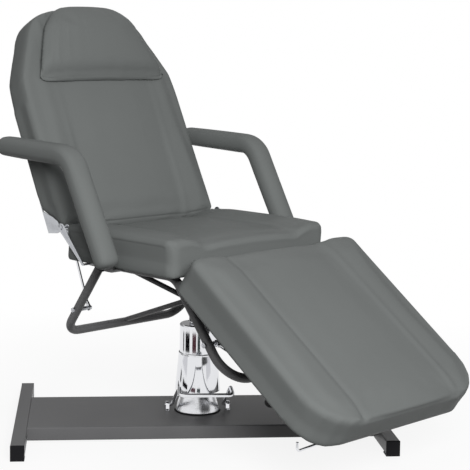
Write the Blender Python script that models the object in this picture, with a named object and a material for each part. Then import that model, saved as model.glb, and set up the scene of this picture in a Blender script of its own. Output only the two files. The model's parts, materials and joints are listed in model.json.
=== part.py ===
"""Hydraulic massage table with a swivelling three-section chair on a flat steel base.

Units are metres and +Z is up. The base lies along X. The chair is turned about the
pump, so its pieces are modelled facing +X under an empty that carries the turn, and
the backrest and the leg rest are modelled lying flat under empties on their hinges.
"""
import math

import bmesh
import bpy
from mathutils import Matrix, Vector

# Fits
GAP = 0.0003
ROUND_SIDES = 12
PUMP_SIDES = 40

# Place of the pump axis, so that the origin is the middle of the footprint
PUMP_X = -0.05376
PUMP_Y = 0.07751

# Base
TUBE_SIZE = 0.038
TUBE_WALL = 0.002
GLIDE_HEIGHT = 0.006
GLIDE_LENGTH = 0.034
BASE_TOP = GLIDE_HEIGHT + TUBE_SIZE
FOOT_SPACING = 0.508
FOOT_HALF_LENGTH = 0.332
CAP_THICK = 0.005
CAP_PLUG = 0.016
PLATE_HALF_WIDTH = 0.166
SHEET = 0.003
PLATE_LIP = 0.014

# Pump
GASKET_RADIUS = 0.0675
GASKET_THICK = 0.002
SKIRT_RADIUS = 0.0650
CYLINDER_RADIUS = 0.0430
CYLINDER_TOP = 0.205
HOUSING_BOTTOM = 0.106
HOUSING_TOP = 0.220
HOUSING_LOW_RADIUS = 0.0660
HOUSING_TOP_RADIUS = 0.0570
HOUSING_WALL = 0.0022
SLEEVE_RADIUS = 0.0538
SLEEVE_TOP = 0.303
SLEEVE_WALL = 0.0025
RAM_RADIUS = 0.0190
RAM_BOTTOM = 0.075
COLLAR_RADIUS = 0.0265

# Pedal
PEDAL_ROD = 0.0055
PEDAL_AXIS_Z = 0.062
PEDAL_ARM_X = 0.075
PEDAL_BAR_X = 0.072
PEDAL_REACH = 0.300
PEDAL_BAR_Z = 0.166
PEDAL_CREST_Z = 0.174
PEDAL_CREST_REACH = 0.245
BRACKET_INNER_X = 0.0830
BRACKET_THICK = 0.010

# Chair, in its own frame: X forward from the pump axis, Y to the sitter's left
SWIVEL = math.radians(50.8)
SEAT_REAR = -0.236
SEAT_FRONT = 0.216
SEAT_HALF = 0.306
SEAT_UNDER = 0.492
SEAT_THICK = 0.106
BOARD_THICK = 0.012
BOARD_INSET = 0.022
BACK_BOARD_START = 0.094
BACK_BOARD_END = 0.050
RAIL_RADIUS = 0.013
RAIL_Y = 0.213
RAIL_Z = SEAT_UNDER - 2 * GAP - RAIL_RADIUS
RAIL_END_X = -0.232
FRONT_LEG_SLOPE = math.radians(51.0)
FRONT_KNEE_X = 0.1283
FRONT_LEG_LENGTH = 0.3275
FRONT_BEND = 0.085
REAR_Y = 0.228
REAR_TOP_X = -0.1681
REAR_LOW_X = -0.332
REAR_LOW_Z = 0.2545
REAR_BEND = 0.050
HUB_RADIUS = 0.0265
HUB_BOTTOM = 0.3105
HUB_TOP = 0.402
BRACE_RADIUS = 0.0075
BRACE_RAIL_X = -0.066
BRACE_HUB_Z = 0.368

# Armrests
ARM_Y = 0.366
ARM_WIDTH = 0.072
ARM_THICK = 0.058
ARM_REAR = (-0.453, 0.810)
ARM_CORNER = (-0.134, 0.801)
ARM_LOW = (0.028, 0.508)
ARM_BEND = 0.075

# Backrest, lying flat behind its hinge: X runs from the hinge to the foot side
BACK_HINGE_X = -0.2445
BACK_HINGE_Z = 0.585
BACK_RISE = math.radians(64.2)
BACK_START = -0.002
BACK_LENGTH = 0.714
BACK_HALF = 0.304
BACK_TOP_Z = 0.009
BACK_THICK = 0.095
BACK_TAPER_START = 0.469
BACK_TAPER_END = 0.609
BACK_TAPER_HALF = 0.238
BACK_TOP_HALF = 0.060
BACK_SLANT = (0.050, 0.080)
BACK_SIDE_SLANT = (0.115, 0.088)
HINGE_PLATE_Y = 0.2905
HINGE_STRAP_Y = 0.3125
HINGE_PLATE_EDGE = ((0.010, 0.056), (0.030, 0.0535), (0.050, 0.0365), (0.070, 0.012), (0.080, 0.0))
HINGE_SHEET = 0.003
HINGE_PIN = 0.004

# Head pillow, on the upper front of the backrest
PILLOW_START = 0.454
PILLOW_LENGTH = 0.246
PILLOW_LOW_HALF = 0.250
PILLOW_TOP_HALF = 0.150
PILLOW_THICK = 0.052

# Leg rest, lying flat in front of its hinge
LEG_HINGE_X = 0.218
LEG_HINGE_Z = 0.480
LEG_DROP = math.radians(35.0)
LEG_START = 0.015
LEG_LENGTH = 0.605
LEG_HALF = 0.320
LEG_UNDER_Z = 0.0035
LEG_THICK = 0.1105
LEG_ARM_Y = 0.2315
LEG_ARM_LENGTH = 0.36
ANGLE_LEG = 0.024
ANGLE_WALL = 0.004
STOP_X = 0.420
STOP_Y = 0.297
STOP_RADIUS = 0.013
STOP_LENGTH = 0.026
HOOK_X = 0.575

# Sliding stays: a rod on a frame bolt beside a notched bar on the backrest or leg rest
STAY_ROD_Y = 0.186
STAY_ROD = 0.004
STAY_EYE = 0.009
STAY_BAR_Y = 0.1905
STAY_BAR_THICK = 0.004
STAY_BAR_HALF = 0.009
STAY_BOLT = 0.004
NOTCH_PITCH = 0.018
NOTCH_DEPTH = 0.005
BACK_STAY_FOOT = (-0.276, 0.331)
BACK_STAY_DEPTH = 0.116
BACK_ROD_LENGTH = 0.250
BACK_BAR_LENGTH = 0.222
LEG_STAY_FOOT = (0.2606, 0.314)
LEG_STAY_X = 0.400
LEG_STAY_DEPTH = 0.018
LEG_ROD_LENGTH = 0.270
LEG_BAR_LENGTH = 0.132

# Cushion forms
CREASE_Y = 0.188
CREASE_HALF = 0.014
CREASE_DEPTH = 0.007
EDGE_ROLL = 0.018
WAIST = 0.004

# Colours, as sRGB, with roughness and metallic value
FINISHES = {
    "leather": ("6a6d6c", 0.45, 0.0),
    "paint": ("4c4c4d", 0.45, 0.2),
    "chrome": ("d9dade", 0.08, 1.0),
    "zinc": ("b9bcc0", 0.30, 1.0),
    "plastic": ("1a1a1d", 0.50, 0.0),
    "rubber": ("141415", 0.80, 0.0),
    "board": ("222224", 0.85, 0.0),
}


def linear(code):
    """An sRGB hex colour as linear values."""
    channels = [int(code[i:i + 2], 16) / 255 for i in (0, 2, 4)]
    return [c / 12.92 if c <= 0.04045 else ((c + 0.055) / 1.055) ** 2.4 for c in channels]


def make_finishes():
    finishes = {}
    for name, (code, roughness, metallic) in FINISHES.items():
        finish = bpy.data.materials.new(name)
        finish.use_nodes = True
        shader = finish.node_tree.nodes["Principled BSDF"]
        shader.inputs["Base Color"].default_value = (*linear(code), 1.0)
        shader.inputs["Roughness"].default_value = roughness
        shader.inputs["Metallic"].default_value = metallic
        finishes[name] = finish
    return finishes


def clear_scene():
    for item in list(bpy.data.objects):
        bpy.data.objects.remove(item, do_unlink=True)


def empty(name, parent=None, place=(0, 0, 0), turn_y=0.0, turn_z=0.0):
    """An axis marker that carries the pieces that turn or slide on it."""
    marker = bpy.data.objects.new(name, None)
    marker.parent = parent
    marker.location = place
    marker.rotation_euler = (0.0, turn_y, turn_z)
    bpy.context.collection.objects.link(marker)
    return marker


def piece(name, bm, finish, parent):
    """A named object from a bmesh, with faces pointing out."""
    bmesh.ops.remove_doubles(bm, verts=bm.verts, dist=1e-6)
    bmesh.ops.recalc_face_normals(bm, faces=bm.faces)
    mesh = bpy.data.meshes.new(name)
    bm.to_mesh(mesh)
    bm.free()
    mesh.shade_smooth()
    mesh.set_sharp_from_angle(angle=math.radians(35))
    mesh.materials.append(FINISH[finish])
    item = bpy.data.objects.new(name, mesh)
    item.parent = parent
    bpy.context.collection.objects.link(item)
    return item


def cutter(bm, parent):
    """A guide shape that only serves a Boolean."""
    guide = piece("guide", bm, "rubber", parent)
    guide.hide_render = True
    guide.display_type = "WIRE"
    return guide


def boolean(item, guide, operation):
    change = item.modifiers.new(operation.lower(), "BOOLEAN")
    change.operation = operation
    change.solver = "EXACT"
    change.object = guide


def add_box(bm, low, high):
    corners = bmesh.ops.create_cube(bm, size=1.0)["verts"]
    low, high = Vector(low), Vector(high)
    bmesh.ops.scale(bm, vec=high - low, verts=corners)
    bmesh.ops.translate(bm, vec=(low + high) / 2, verts=corners)


def add_lathe(bm, profile, sides, centre=(0, 0, 0)):
    """A closed profile of (radius, height) turned about a vertical axis."""
    ring = [bm.verts.new((radius, 0.0, height)) for radius, height in profile]
    edges = [bm.edges.new((ring[i - 1], ring[i])) for i in range(len(ring))]
    bmesh.ops.spin(bm, geom=ring + edges, axis=(0, 0, 1), cent=(0, 0, 0),
                   angle=2 * math.pi, steps=sides, use_merge=True)
    bmesh.ops.remove_doubles(bm, verts=bm.verts, dist=1e-7)
    flat = [face for face in bm.faces if face.calc_area() < 1e-12]
    bmesh.ops.delete(bm, geom=flat, context="FACES")
    bmesh.ops.translate(bm, vec=centre, verts=bm.verts)


def add_rod(bm, start, end, radius, sides=ROUND_SIDES):
    """A straight round rod between two points."""
    start, end = Vector(start), Vector(end)
    way = end - start
    turn = way.to_track_quat("Z", "Y").to_matrix().to_4x4()
    bmesh.ops.create_cone(bm, cap_ends=True, segments=sides, radius1=radius, radius2=radius,
                          depth=way.length, matrix=Matrix.Translation((start + end) / 2) @ turn)


def add_plate(bm, outline, low_y, high_y):
    """A flat outline of (x, z) points, extruded from low_y to high_y."""
    face = bm.faces.new([bm.verts.new((x, low_y, z)) for x, z in outline])
    made = bmesh.ops.extrude_face_region(bm, geom=[face])["geom"]
    moved = [vert for vert in made if isinstance(vert, bmesh.types.BMVert)]
    bmesh.ops.translate(bm, vec=(0, high_y - low_y, 0), verts=moved)


def arc(centre, radius, start, end, steps):
    """Points on an arc, with angles in degrees."""
    angles = [math.radians(start + (end - start) * i / steps) for i in range(steps + 1)]
    return [(centre[0] + radius * math.cos(a), centre[1] + radius * math.sin(a)) for a in angles]


def link_outline(start, end, start_radius, end_radius, steps=8):
    """The outline of a flat link with two round ends."""
    heading = math.degrees(math.atan2(end[1] - start[1], end[0] - start[0]))
    return (arc(start, start_radius, heading + 90, heading + 270, steps)
            + arc(end, end_radius, heading - 90, heading + 90, steps))


def filleted(corners, radii, steps=6):
    """A path through corner points, with an arc at each inner corner."""
    corners = [Vector(corner) for corner in corners]
    path = [corners[0]]
    for before, corner, after, radius in zip(corners, corners[1:], corners[2:], radii):
        back = (before - corner).normalized()
        ahead = (after - corner).normalized()
        half = back.angle(ahead) / 2
        middle = corner + (back + ahead).normalized() * radius / math.sin(half)
        first = corner + back * radius / math.tan(half) - middle
        last = corner + ahead * radius / math.tan(half) - middle
        sweep = first.angle(last)
        for i in range(steps + 1):
            part = sweep * i / steps
            weight_a = math.sin(sweep - part) / math.sin(sweep)
            weight_b = math.sin(part) / math.sin(sweep)
            path.append(middle + first * weight_a + last * weight_b)
    path.append(corners[-1])
    return path


def add_sweep(bm, path, section, scales=None):
    """A section of (across, up) points carried along a path and closed at both ends."""
    scales = scales or [1.0] * len(path)
    side = None
    rings = []
    for i, point in enumerate(path):
        ahead = path[min(i + 1, len(path) - 1)] - point
        behind = point - path[max(i - 1, 0)]
        tangent = (ahead.normalized() + behind.normalized()).normalized()
        if side is None:
            side = tangent.cross(Vector((0, 0, 1)))
            side = side if side.length > 0.1 else Vector((0, 1, 0))
        side = (side - tangent * side.dot(tangent)).normalized()
        up = side.cross(tangent)
        ring = [point + (side * a + up * b) * scales[i] for a, b in section]
        rings.append([bm.verts.new(place) for place in ring])
    join_rings(bm, rings)


def join_rings(bm, rings):
    """Closed rings of equal count joined to a solid with flat ends."""
    count = len(rings[0])
    for first, second in zip(rings, rings[1:]):
        for i in range(count):
            bm.faces.new((first[i - 1], first[i], second[i], second[i - 1]))
    bm.faces.new(rings[0])
    bm.faces.new(rings[-1])


def round_section(radius, sides=ROUND_SIDES):
    return arc((0, 0), radius, 0, 360 - 360 / sides, sides - 1)


def add_tube(bm, corners, radii, radius, sides=ROUND_SIDES, steps=6):
    add_sweep(bm, filleted(corners, radii, steps), round_section(radius, sides))


def eased(value):
    value = min(max(value, 0.0), 1.0)
    return value * value * (3 - 2 * value)


def rounded_half(half, radius, distance):
    """Half width of an outline at a distance from its end, with round corners."""
    if distance >= radius:
        return half
    return half - radius + math.sqrt(max(radius ** 2 - (radius - distance) ** 2, 0.0))


def cushion_ring(half, low, thick, roll, crease, sink, side):
    """One cross-section of a cushion: flat below, cut up to a side height, with drawn-in sides,
    rolled edges and creases."""
    body = thick - side
    roll = min(roll, 0.45 * body)
    base = [(half - 0.010 - 0.6 * (side - low), low), (half - 0.006, side),
            (half - 0.001, side + min(0.008, 0.25 * body)), (half - WAIST, side + 0.40 * body)]
    edge = arc((half - roll, thick - roll), roll, 0, 90, 4)
    crest = half - roll
    top = [(0.55 * crest + 0.45 * (crease + CREASE_HALF), thick + 0.002)]
    groove = [(crease + CREASE_HALF, thick - 0.2 * CREASE_DEPTH - 0.3 * sink),
              (crease, thick - CREASE_DEPTH - 0.6 * sink),
              (crease - CREASE_HALF, thick - 0.2 * CREASE_DEPTH - sink)]
    panel = [(0.5 * crease, thick + 0.003 - sink)]
    right = base + edge + top + groove + panel
    middle = [(0.0, thick + 0.004 - sink)]
    left = [(-across, up) for across, up in reversed(right)]
    return right + middle + left + [(0.0, low)]


def end_drop(roll, ending):
    """How far a rolled end lies below the full height, at a distance from that end."""
    return roll - rounded_half(roll, roll, ending)


def add_cushion(bm, length, half_at, thick, rolls, tucks, sink=0.0, sink_at=None, steps=14, slants=()):
    """A cushion lofted along X: rolls and tucks round the upper and lower edges of its two ends.

    Slants, as heights and lengths for the middle and the sides, cut the lower edge of the first end away.
    """
    rings = []
    for i in range(steps + 1):
        place = length * (0.5 - 0.5 * math.cos(math.pi * i / steps))
        drop = max(end_drop(rolls[0], place), end_drop(rolls[1], length - place))
        low = max(end_drop(tucks[0], place), end_drop(tucks[1], length - place))
        cuts = [min(height * (1 - place / reach), thick - drop - 0.022) for height, reach in slants]
        low = max([low] + cuts[:1])
        side = max([low] + cuts)
        half = half_at(place)
        crease = min(CREASE_Y, half - EDGE_ROLL - 2 * CREASE_HALF)
        here = sink * (sink_at(place) if sink_at else 1.0)
        ring = cushion_ring(half, low, thick - drop, EDGE_ROLL, crease, here, side)
        rings.append([bm.verts.new((place, across, up)) for across, up in ring])
    join_rings(bm, rings)


def one_side(build, side):
    """A shape built on the left (+Y) and mirrored where the right one is wanted."""
    bm = bmesh.new()
    build(bm)
    bmesh.ops.scale(bm, vec=(1, side, 1), verts=bm.verts)
    return bm


def pair(name, finish, parent, shapes, guides=()):
    """A left and a right piece: the first shape, joined with the others and cut by the guides."""
    for suffix, side in (("left", 1), ("right", -1)):
        item = piece(name + "_" + suffix, one_side(shapes[0], side), finish, parent)
        for shape in shapes[1:]:
            boolean(item, cutter(one_side(shape, side), parent), "UNION")
        for guide in guides:
            boolean(item, guide, "DIFFERENCE")


def make_base_plate(root):
    """One sheet, folded down at the front and back, with lips turned in below."""
    half, low = PLATE_HALF_WIDTH, GLIDE_HEIGHT
    right = [(half - PLATE_LIP, low), (half, low), (half, BASE_TOP)]
    inner = [(half - SHEET, BASE_TOP - SHEET), (half - SHEET, low + SHEET), (half - PLATE_LIP, low + SHEET)]
    outline = right + [(-y, z) for y, z in reversed(right)]
    outline += [(-y, z) for y, z in reversed(inner)] + inner
    reach = FOOT_SPACING - TUBE_SIZE / 2 - GAP
    bm = bmesh.new()
    add_plate(bm, outline, -reach, reach)
    bmesh.ops.rotate(bm, matrix=Matrix.Rotation(math.pi / 2, 3, "Z"), verts=bm.verts)
    piece("base_plate", bm, "paint", root)


def make_foot_tubes(root):
    outer = TUBE_SIZE / 2
    inner = outer - TUBE_WALL
    for name, x in (("foot_tube_left", -FOOT_SPACING), ("foot_tube_right", FOOT_SPACING)):
        bm = bmesh.new()
        middle = GLIDE_HEIGHT + outer
        add_box(bm, (x - outer, -FOOT_HALF_LENGTH, GLIDE_HEIGHT), (x + outer, FOOT_HALF_LENGTH, BASE_TOP))
        bmesh.ops.bevel(bm, geom=[e for e in bm.edges if abs(e.verts[0].co.y - e.verts[1].co.y) > 0.1],
                        offset=0.003, segments=2, profile=0.5, affect="EDGES")
        tube = piece(name, bm, "paint", root)
        bm = bmesh.new()
        add_box(bm, (x - inner, -1, middle - inner), (x + inner, 1, middle + inner))
        boolean(tube, cutter(bm, root), "DIFFERENCE")


def make_end_caps(root):
    """Plugs in the tube ends, each with a face plate and a glide under the tube."""
    outer = TUBE_SIZE / 2
    plug = outer - TUBE_WALL - GAP
    middle = GLIDE_HEIGHT + outer
    end = FOOT_HALF_LENGTH + GAP
    face = end + CAP_THICK
    glide = GLIDE_HEIGHT - GAP
    outline = [(end - GLIDE_LENGTH, 0.0), (face - 0.002, 0.0), (face, 0.002), (face, BASE_TOP - 0.002),
               (face - 0.002, BASE_TOP), (end, BASE_TOP), (end, glide), (end - GLIDE_LENGTH, glide)]
    for column, x in (("left", -FOOT_SPACING), ("right", FOOT_SPACING)):
        for row, turn in (("front", -math.pi / 2), ("rear", math.pi / 2)):
            spin = Matrix.Rotation(turn, 3, "Z")
            bm = bmesh.new()
            add_plate(bm, outline, -outer, outer)
            bmesh.ops.rotate(bm, matrix=spin, verts=bm.verts)
            bmesh.ops.translate(bm, vec=(x, 0, 0), verts=bm.verts)
            cap = piece("end_cap_" + row + "_" + column, bm, "plastic", root)
            bm = bmesh.new()
            add_box(bm, (end - CAP_PLUG, -plug, middle - plug), (end + CAP_THICK / 2, plug, middle + plug))
            bmesh.ops.rotate(bm, matrix=spin, verts=bm.verts)
            bmesh.ops.translate(bm, vec=(x, 0, 0), verts=bm.verts)
            boolean(cap, cutter(bm, root), "UNION")


def make_pump(root):
    """Gasket, foot with its oil cylinder, flared housing and chrome sleeve."""
    low = BASE_TOP + GAP
    bm = bmesh.new()
    hole = 0.024
    add_lathe(bm, [(hole, low), (GASKET_RADIUS, low), (GASKET_RADIUS, low + GASKET_THICK),
                   (hole, low + GASKET_THICK)], PUMP_SIDES)
    piece("pump_gasket", bm, "rubber", root)

    foot = low + GASKET_THICK + GAP
    bore = RAM_RADIUS + GAP
    floor = RAM_BOTTOM - 0.004
    bm = bmesh.new()
    add_lathe(bm, [(0.0, foot), (SKIRT_RADIUS - 0.002, foot), (SKIRT_RADIUS, foot + 0.003),
                   (0.0555, foot + 0.030), (CYLINDER_RADIUS + 0.003, HOUSING_BOTTOM - 0.004),
                   (CYLINDER_RADIUS, HOUSING_BOTTOM), (CYLINDER_RADIUS, CYLINDER_TOP),
                   (bore, CYLINDER_TOP), (bore, floor), (0.0, floor)], PUMP_SIDES)
    piece("pump_foot", bm, "chrome", root)

    web = HOUSING_BOTTOM + 0.005
    rim = HOUSING_TOP_RADIUS
    bm = bmesh.new()
    add_lathe(bm, [(CYLINDER_RADIUS + GAP, HOUSING_BOTTOM + 0.001),
                   (HOUSING_LOW_RADIUS - 0.002, HOUSING_BOTTOM),
                   (HOUSING_LOW_RADIUS, HOUSING_BOTTOM + 0.002), (rim, HOUSING_TOP - 0.004),
                   (rim + 0.0008, HOUSING_TOP - 0.002), (rim - 0.0006, HOUSING_TOP),
                   (SLEEVE_RADIUS + GAP, HOUSING_TOP - 0.001), (SLEEVE_RADIUS + GAP, HOUSING_TOP - 0.012),
                   (HOUSING_LOW_RADIUS - 3 * HOUSING_WALL, web), (CYLINDER_RADIUS + GAP, web)], PUMP_SIDES)
    piece("pump_housing", bm, "chrome", root)

    seat = web + GAP
    inner = SLEEVE_RADIUS - SLEEVE_WALL
    lid = SLEEVE_TOP - 0.006
    bm = bmesh.new()
    add_lathe(bm, [(inner, seat), (SLEEVE_RADIUS, seat), (SLEEVE_RADIUS, SLEEVE_TOP - 0.003),
                   (SLEEVE_RADIUS - 0.001, SLEEVE_TOP - 0.001), (SLEEVE_RADIUS - 0.004, SLEEVE_TOP),
                   (RAM_RADIUS + GAP, SLEEVE_TOP), (RAM_RADIUS + GAP, lid), (inner, lid)], PUMP_SIDES)
    piece("pump_sleeve", bm, "chrome", root)


def make_ram(lift):
    """The piston ram, with the collar that the chair swivels on."""
    collar = HUB_BOTTOM - GAP
    bm = bmesh.new()
    add_lathe(bm, [(0.0, RAM_BOTTOM), (RAM_RADIUS, RAM_BOTTOM), (RAM_RADIUS, SLEEVE_TOP + 0.001),
                   (COLLAR_RADIUS, SLEEVE_TOP + 0.001), (COLLAR_RADIUS, collar), (RAM_RADIUS, collar),
                   (RAM_RADIUS, HUB_TOP - 0.010), (0.0, HUB_TOP - 0.010)], PUMP_SIDES)
    piece("piston_ram", bm, "chrome", lift)


def make_pedal(root, pedal):
    """One bent rod: a foot bar on two arms that end in short axles, and its two brackets."""
    bm = bmesh.new()
    axle = BRACKET_INNER_X + BRACKET_THICK + 0.003
    half = [(-axle, 0, 0), (-PEDAL_ARM_X, 0, 0),
            (-0.071, -PEDAL_CREST_REACH, PEDAL_CREST_Z - PEDAL_AXIS_Z),
            (-PEDAL_BAR_X, -PEDAL_REACH, PEDAL_BAR_Z - PEDAL_AXIS_Z)]
    corners = half + [(-x, y, z) for x, y, z in reversed(half)]
    radii = [0.0070, 0.030, 0.014, 0.014, 0.030, 0.0070]
    add_tube(bm, corners, radii, PEDAL_ROD, 10, 5)
    piece("pedal_lever", bm, "chrome", pedal)

    low = BASE_TOP + GAP
    outline = [(-0.018, low), (0.018, low), (0.018, low + 0.004), (0.010, low + 0.006)]
    outline += arc((0.0, PEDAL_AXIS_Z), 0.0095, 0, 180, 8) + [(-0.010, low + 0.006), (-0.018, low + 0.004)]
    hole = bmesh.new()
    add_rod(hole, (-0.2, 0, PEDAL_AXIS_Z), (0.2, 0, PEDAL_AXIS_Z), PEDAL_ROD + GAP)
    guide = cutter(hole, root)
    for suffix, turn in (("left", math.pi / 2), ("right", -math.pi / 2)):
        bm = bmesh.new()
        add_plate(bm, outline, BRACKET_INNER_X, BRACKET_INNER_X + BRACKET_THICK)
        bmesh.ops.rotate(bm, matrix=Matrix.Rotation(turn, 3, "Z"), verts=bm.verts)
        boolean(piece("pedal_bracket_" + suffix, bm, "chrome", root), guide, "DIFFERENCE")


def front_foot():
    """Lowest point of the front U: X and Z of its cross run."""
    along = FRONT_LEG_LENGTH
    return (FRONT_KNEE_X + along * math.cos(FRONT_LEG_SLOPE), RAIL_Z - along * math.sin(FRONT_LEG_SLOPE))


def add_seat_frame(bm, radius):
    low_x, low_z = front_foot()
    half = [(RAIL_END_X, -RAIL_Y, RAIL_Z), (FRONT_KNEE_X, -RAIL_Y, RAIL_Z), (low_x, -RAIL_Y, low_z)]
    corners = half + [(x, -y, z) for x, y, z in reversed(half)]
    add_tube(bm, corners, [0.06, FRONT_BEND, FRONT_BEND, 0.06], radius)


def add_rear_u(bm, radius):
    half = [(REAR_TOP_X, -REAR_Y, RAIL_Z), (REAR_LOW_X, -REAR_Y, REAR_LOW_Z)]
    corners = half + [(x, -y, z) for x, y, z in reversed(half)]
    add_tube(bm, corners, [REAR_BEND, REAR_BEND], radius)


def stay_bolt_holes(chair):
    bm = bmesh.new()
    for x, z in (BACK_STAY_FOOT, LEG_STAY_FOOT):
        for side in (1, -1):
            add_rod(bm, (x, side * 0.16, z), (x, side * 0.27, z), STAY_BOLT + GAP, 10)
    return cutter(bm, chair)


def make_frame(chair):
    """Hub, bent seat frame, rear U and the braces that tie them to the hub."""
    bm = bmesh.new()
    bore = RAM_RADIUS + GAP
    add_lathe(bm, [(bore, HUB_BOTTOM), (HUB_RADIUS - 0.003, HUB_BOTTOM), (HUB_RADIUS, HUB_BOTTOM + 0.003),
                   (HUB_RADIUS, HUB_TOP - 0.003), (HUB_RADIUS - 0.003, HUB_TOP), (0.0, HUB_TOP),
                   (0.0, HUB_TOP - 0.008), (bore, HUB_TOP - 0.008)], PUMP_SIDES)
    piece("swivel_hub", bm, "paint", chair)

    bm = bmesh.new()
    add_seat_frame(bm, RAIL_RADIUS)
    frame = piece("seat_frame", bm, "paint", chair)
    boolean(frame, stay_bolt_holes(chair), "DIFFERENCE")
    bm = bmesh.new()
    add_seat_frame(bm, RAIL_RADIUS + GAP)
    frame_guide = cutter(bm, chair)

    bm = bmesh.new()
    add_rear_u(bm, RAIL_RADIUS)
    rear = piece("rear_u_tube", bm, "paint", chair)
    boolean(rear, frame_guide, "DIFFERENCE")
    boolean(rear, stay_bolt_holes(chair), "DIFFERENCE")
    bm = bmesh.new()
    add_rear_u(bm, RAIL_RADIUS + GAP)
    rear_guide = cutter(bm, chair)

    bm = bmesh.new()
    add_rod(bm, (0, 0, HUB_BOTTOM - 0.01), (0, 0, HUB_TOP + 0.01), HUB_RADIUS + GAP, PUMP_SIDES)
    hub_guide = cutter(bm, chair)

    def brace(part):
        add_rod(part, (BRACE_RAIL_X, RAIL_Y, RAIL_Z), (-0.014, 0.012, BRACE_HUB_Z), BRACE_RADIUS)

    pair("rail_brace", "paint", chair, [brace], [hub_guide, frame_guide])
    bm = bmesh.new()
    add_rod(bm, (REAR_LOW_X, 0, REAR_LOW_Z + 0.005), (-0.015, 0, BRACE_HUB_Z + 0.007), BRACE_RADIUS)
    strut = piece("rear_strut", bm, "paint", chair)
    boolean(strut, hub_guide, "DIFFERENCE")
    boolean(strut, rear_guide, "DIFFERENCE")


def seat_half(place):
    """Half width of the seat, with round corners at the rear and the front."""
    length = SEAT_FRONT - SEAT_REAR
    return min(rounded_half(SEAT_HALF, 0.014, place), rounded_half(SEAT_HALF, 0.024, length - place))


def add_board(bm, length, half, corner, low, high, start=0.0):
    """A plywood board with round corners, lying flat."""
    outline = arc((start + length - corner, half - corner), corner, 90, 0, 4)
    outline += arc((start + length - corner, -half + corner), corner, 0, -90, 4)
    outline += arc((start + corner, -half + corner), corner, -90, -180, 4)
    outline += arc((start + corner, half - corner), corner, 180, 90, 4)
    face = bm.faces.new([bm.verts.new((x, y, low)) for x, y in outline])
    made = bmesh.ops.extrude_face_region(bm, geom=[face])["geom"]
    moved = [vert for vert in made if isinstance(vert, bmesh.types.BMVert)]
    bmesh.ops.translate(bm, vec=(0, 0, high - low), verts=moved)


def make_seat(chair):
    length = SEAT_FRONT - SEAT_REAR
    bm = bmesh.new()
    add_cushion(bm, length, seat_half, SEAT_THICK - 0.004, (0.012, 0.020), (0.004, 0.010), 0.016)
    bmesh.ops.translate(bm, vec=(SEAT_REAR, 0, SEAT_UNDER), verts=bm.verts)
    cushion = piece("seat_cushion", bm, "leather", chair)
    reach = length - 2 * BOARD_INSET
    half = SEAT_HALF - BOARD_INSET
    top = SEAT_UNDER + BOARD_THICK
    start = SEAT_REAR + BOARD_INSET
    bm = bmesh.new()
    add_board(bm, reach, half, 0.03, SEAT_UNDER, top, start)
    piece("seat_board", bm, "board", chair)
    bm = bmesh.new()
    add_board(bm, reach + 2 * GAP, half + GAP, 0.03, SEAT_UNDER - 0.01, top + GAP, start - GAP)
    boolean(cushion, cutter(bm, chair), "DIFFERENCE")


def make_armrests(chair):
    """Bent pads with round ends, and the brackets that hold them to the seat rails."""
    section = [(ARM_WIDTH / 2 * math.copysign(abs(math.cos(a)) ** 0.75, math.cos(a)),
                ARM_THICK / 2 * math.copysign(abs(math.sin(a)) ** 0.75, math.sin(a)))
               for a in (2 * math.pi * i / 16 for i in range(16))]
    corners = [(x, 0.0, z) for x, z in (ARM_REAR, ARM_CORNER, ARM_LOW)]
    path = filleted(corners, [ARM_BEND], 8)
    first, last = path[0], path[-1]
    into_first = (path[1] - first).normalized()
    into_last = (path[-2] - last).normalized()
    cap = [0.0, 0.10, 0.35, 0.75]
    reach = 0.024
    head = [first + into_first * reach * c for c in cap]
    tail = [last + into_last * reach * c for c in reversed(cap)]
    sizes = [0.45, 0.68, 0.88, 0.98]
    full = head + path[1:-1] + tail
    scales = sizes + [1.0] * (len(path) - 2) + sizes[::-1]
    for name, side in (("armrest_pad_left", 1), ("armrest_pad_right", -1)):
        bm = bmesh.new()
        add_sweep(bm, full, section, scales)
        bmesh.ops.translate(bm, vec=(0, side * ARM_Y, 0), verts=bm.verts)
        piece(name, bm, "leather", chair)

    face = ARM_Y - ARM_WIDTH / 2 - 2 * GAP
    rail = RAIL_Y + RAIL_RADIUS + GAP
    low = SEAT_UNDER - 0.0055

    def bracket(part):
        outline = [(rail, low), (face, low), (face, 0.560), (face - 0.005, 0.560),
                   (face - 0.005, low + 0.005), (rail, low + 0.005)]
        add_plate(part, outline, 0.002, 0.034)
        bmesh.ops.rotate(part, matrix=Matrix.Rotation(math.pi / 2, 3, "Z"), verts=part.verts)

    pair("armrest_bracket", "paint", chair, [bracket])


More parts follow.
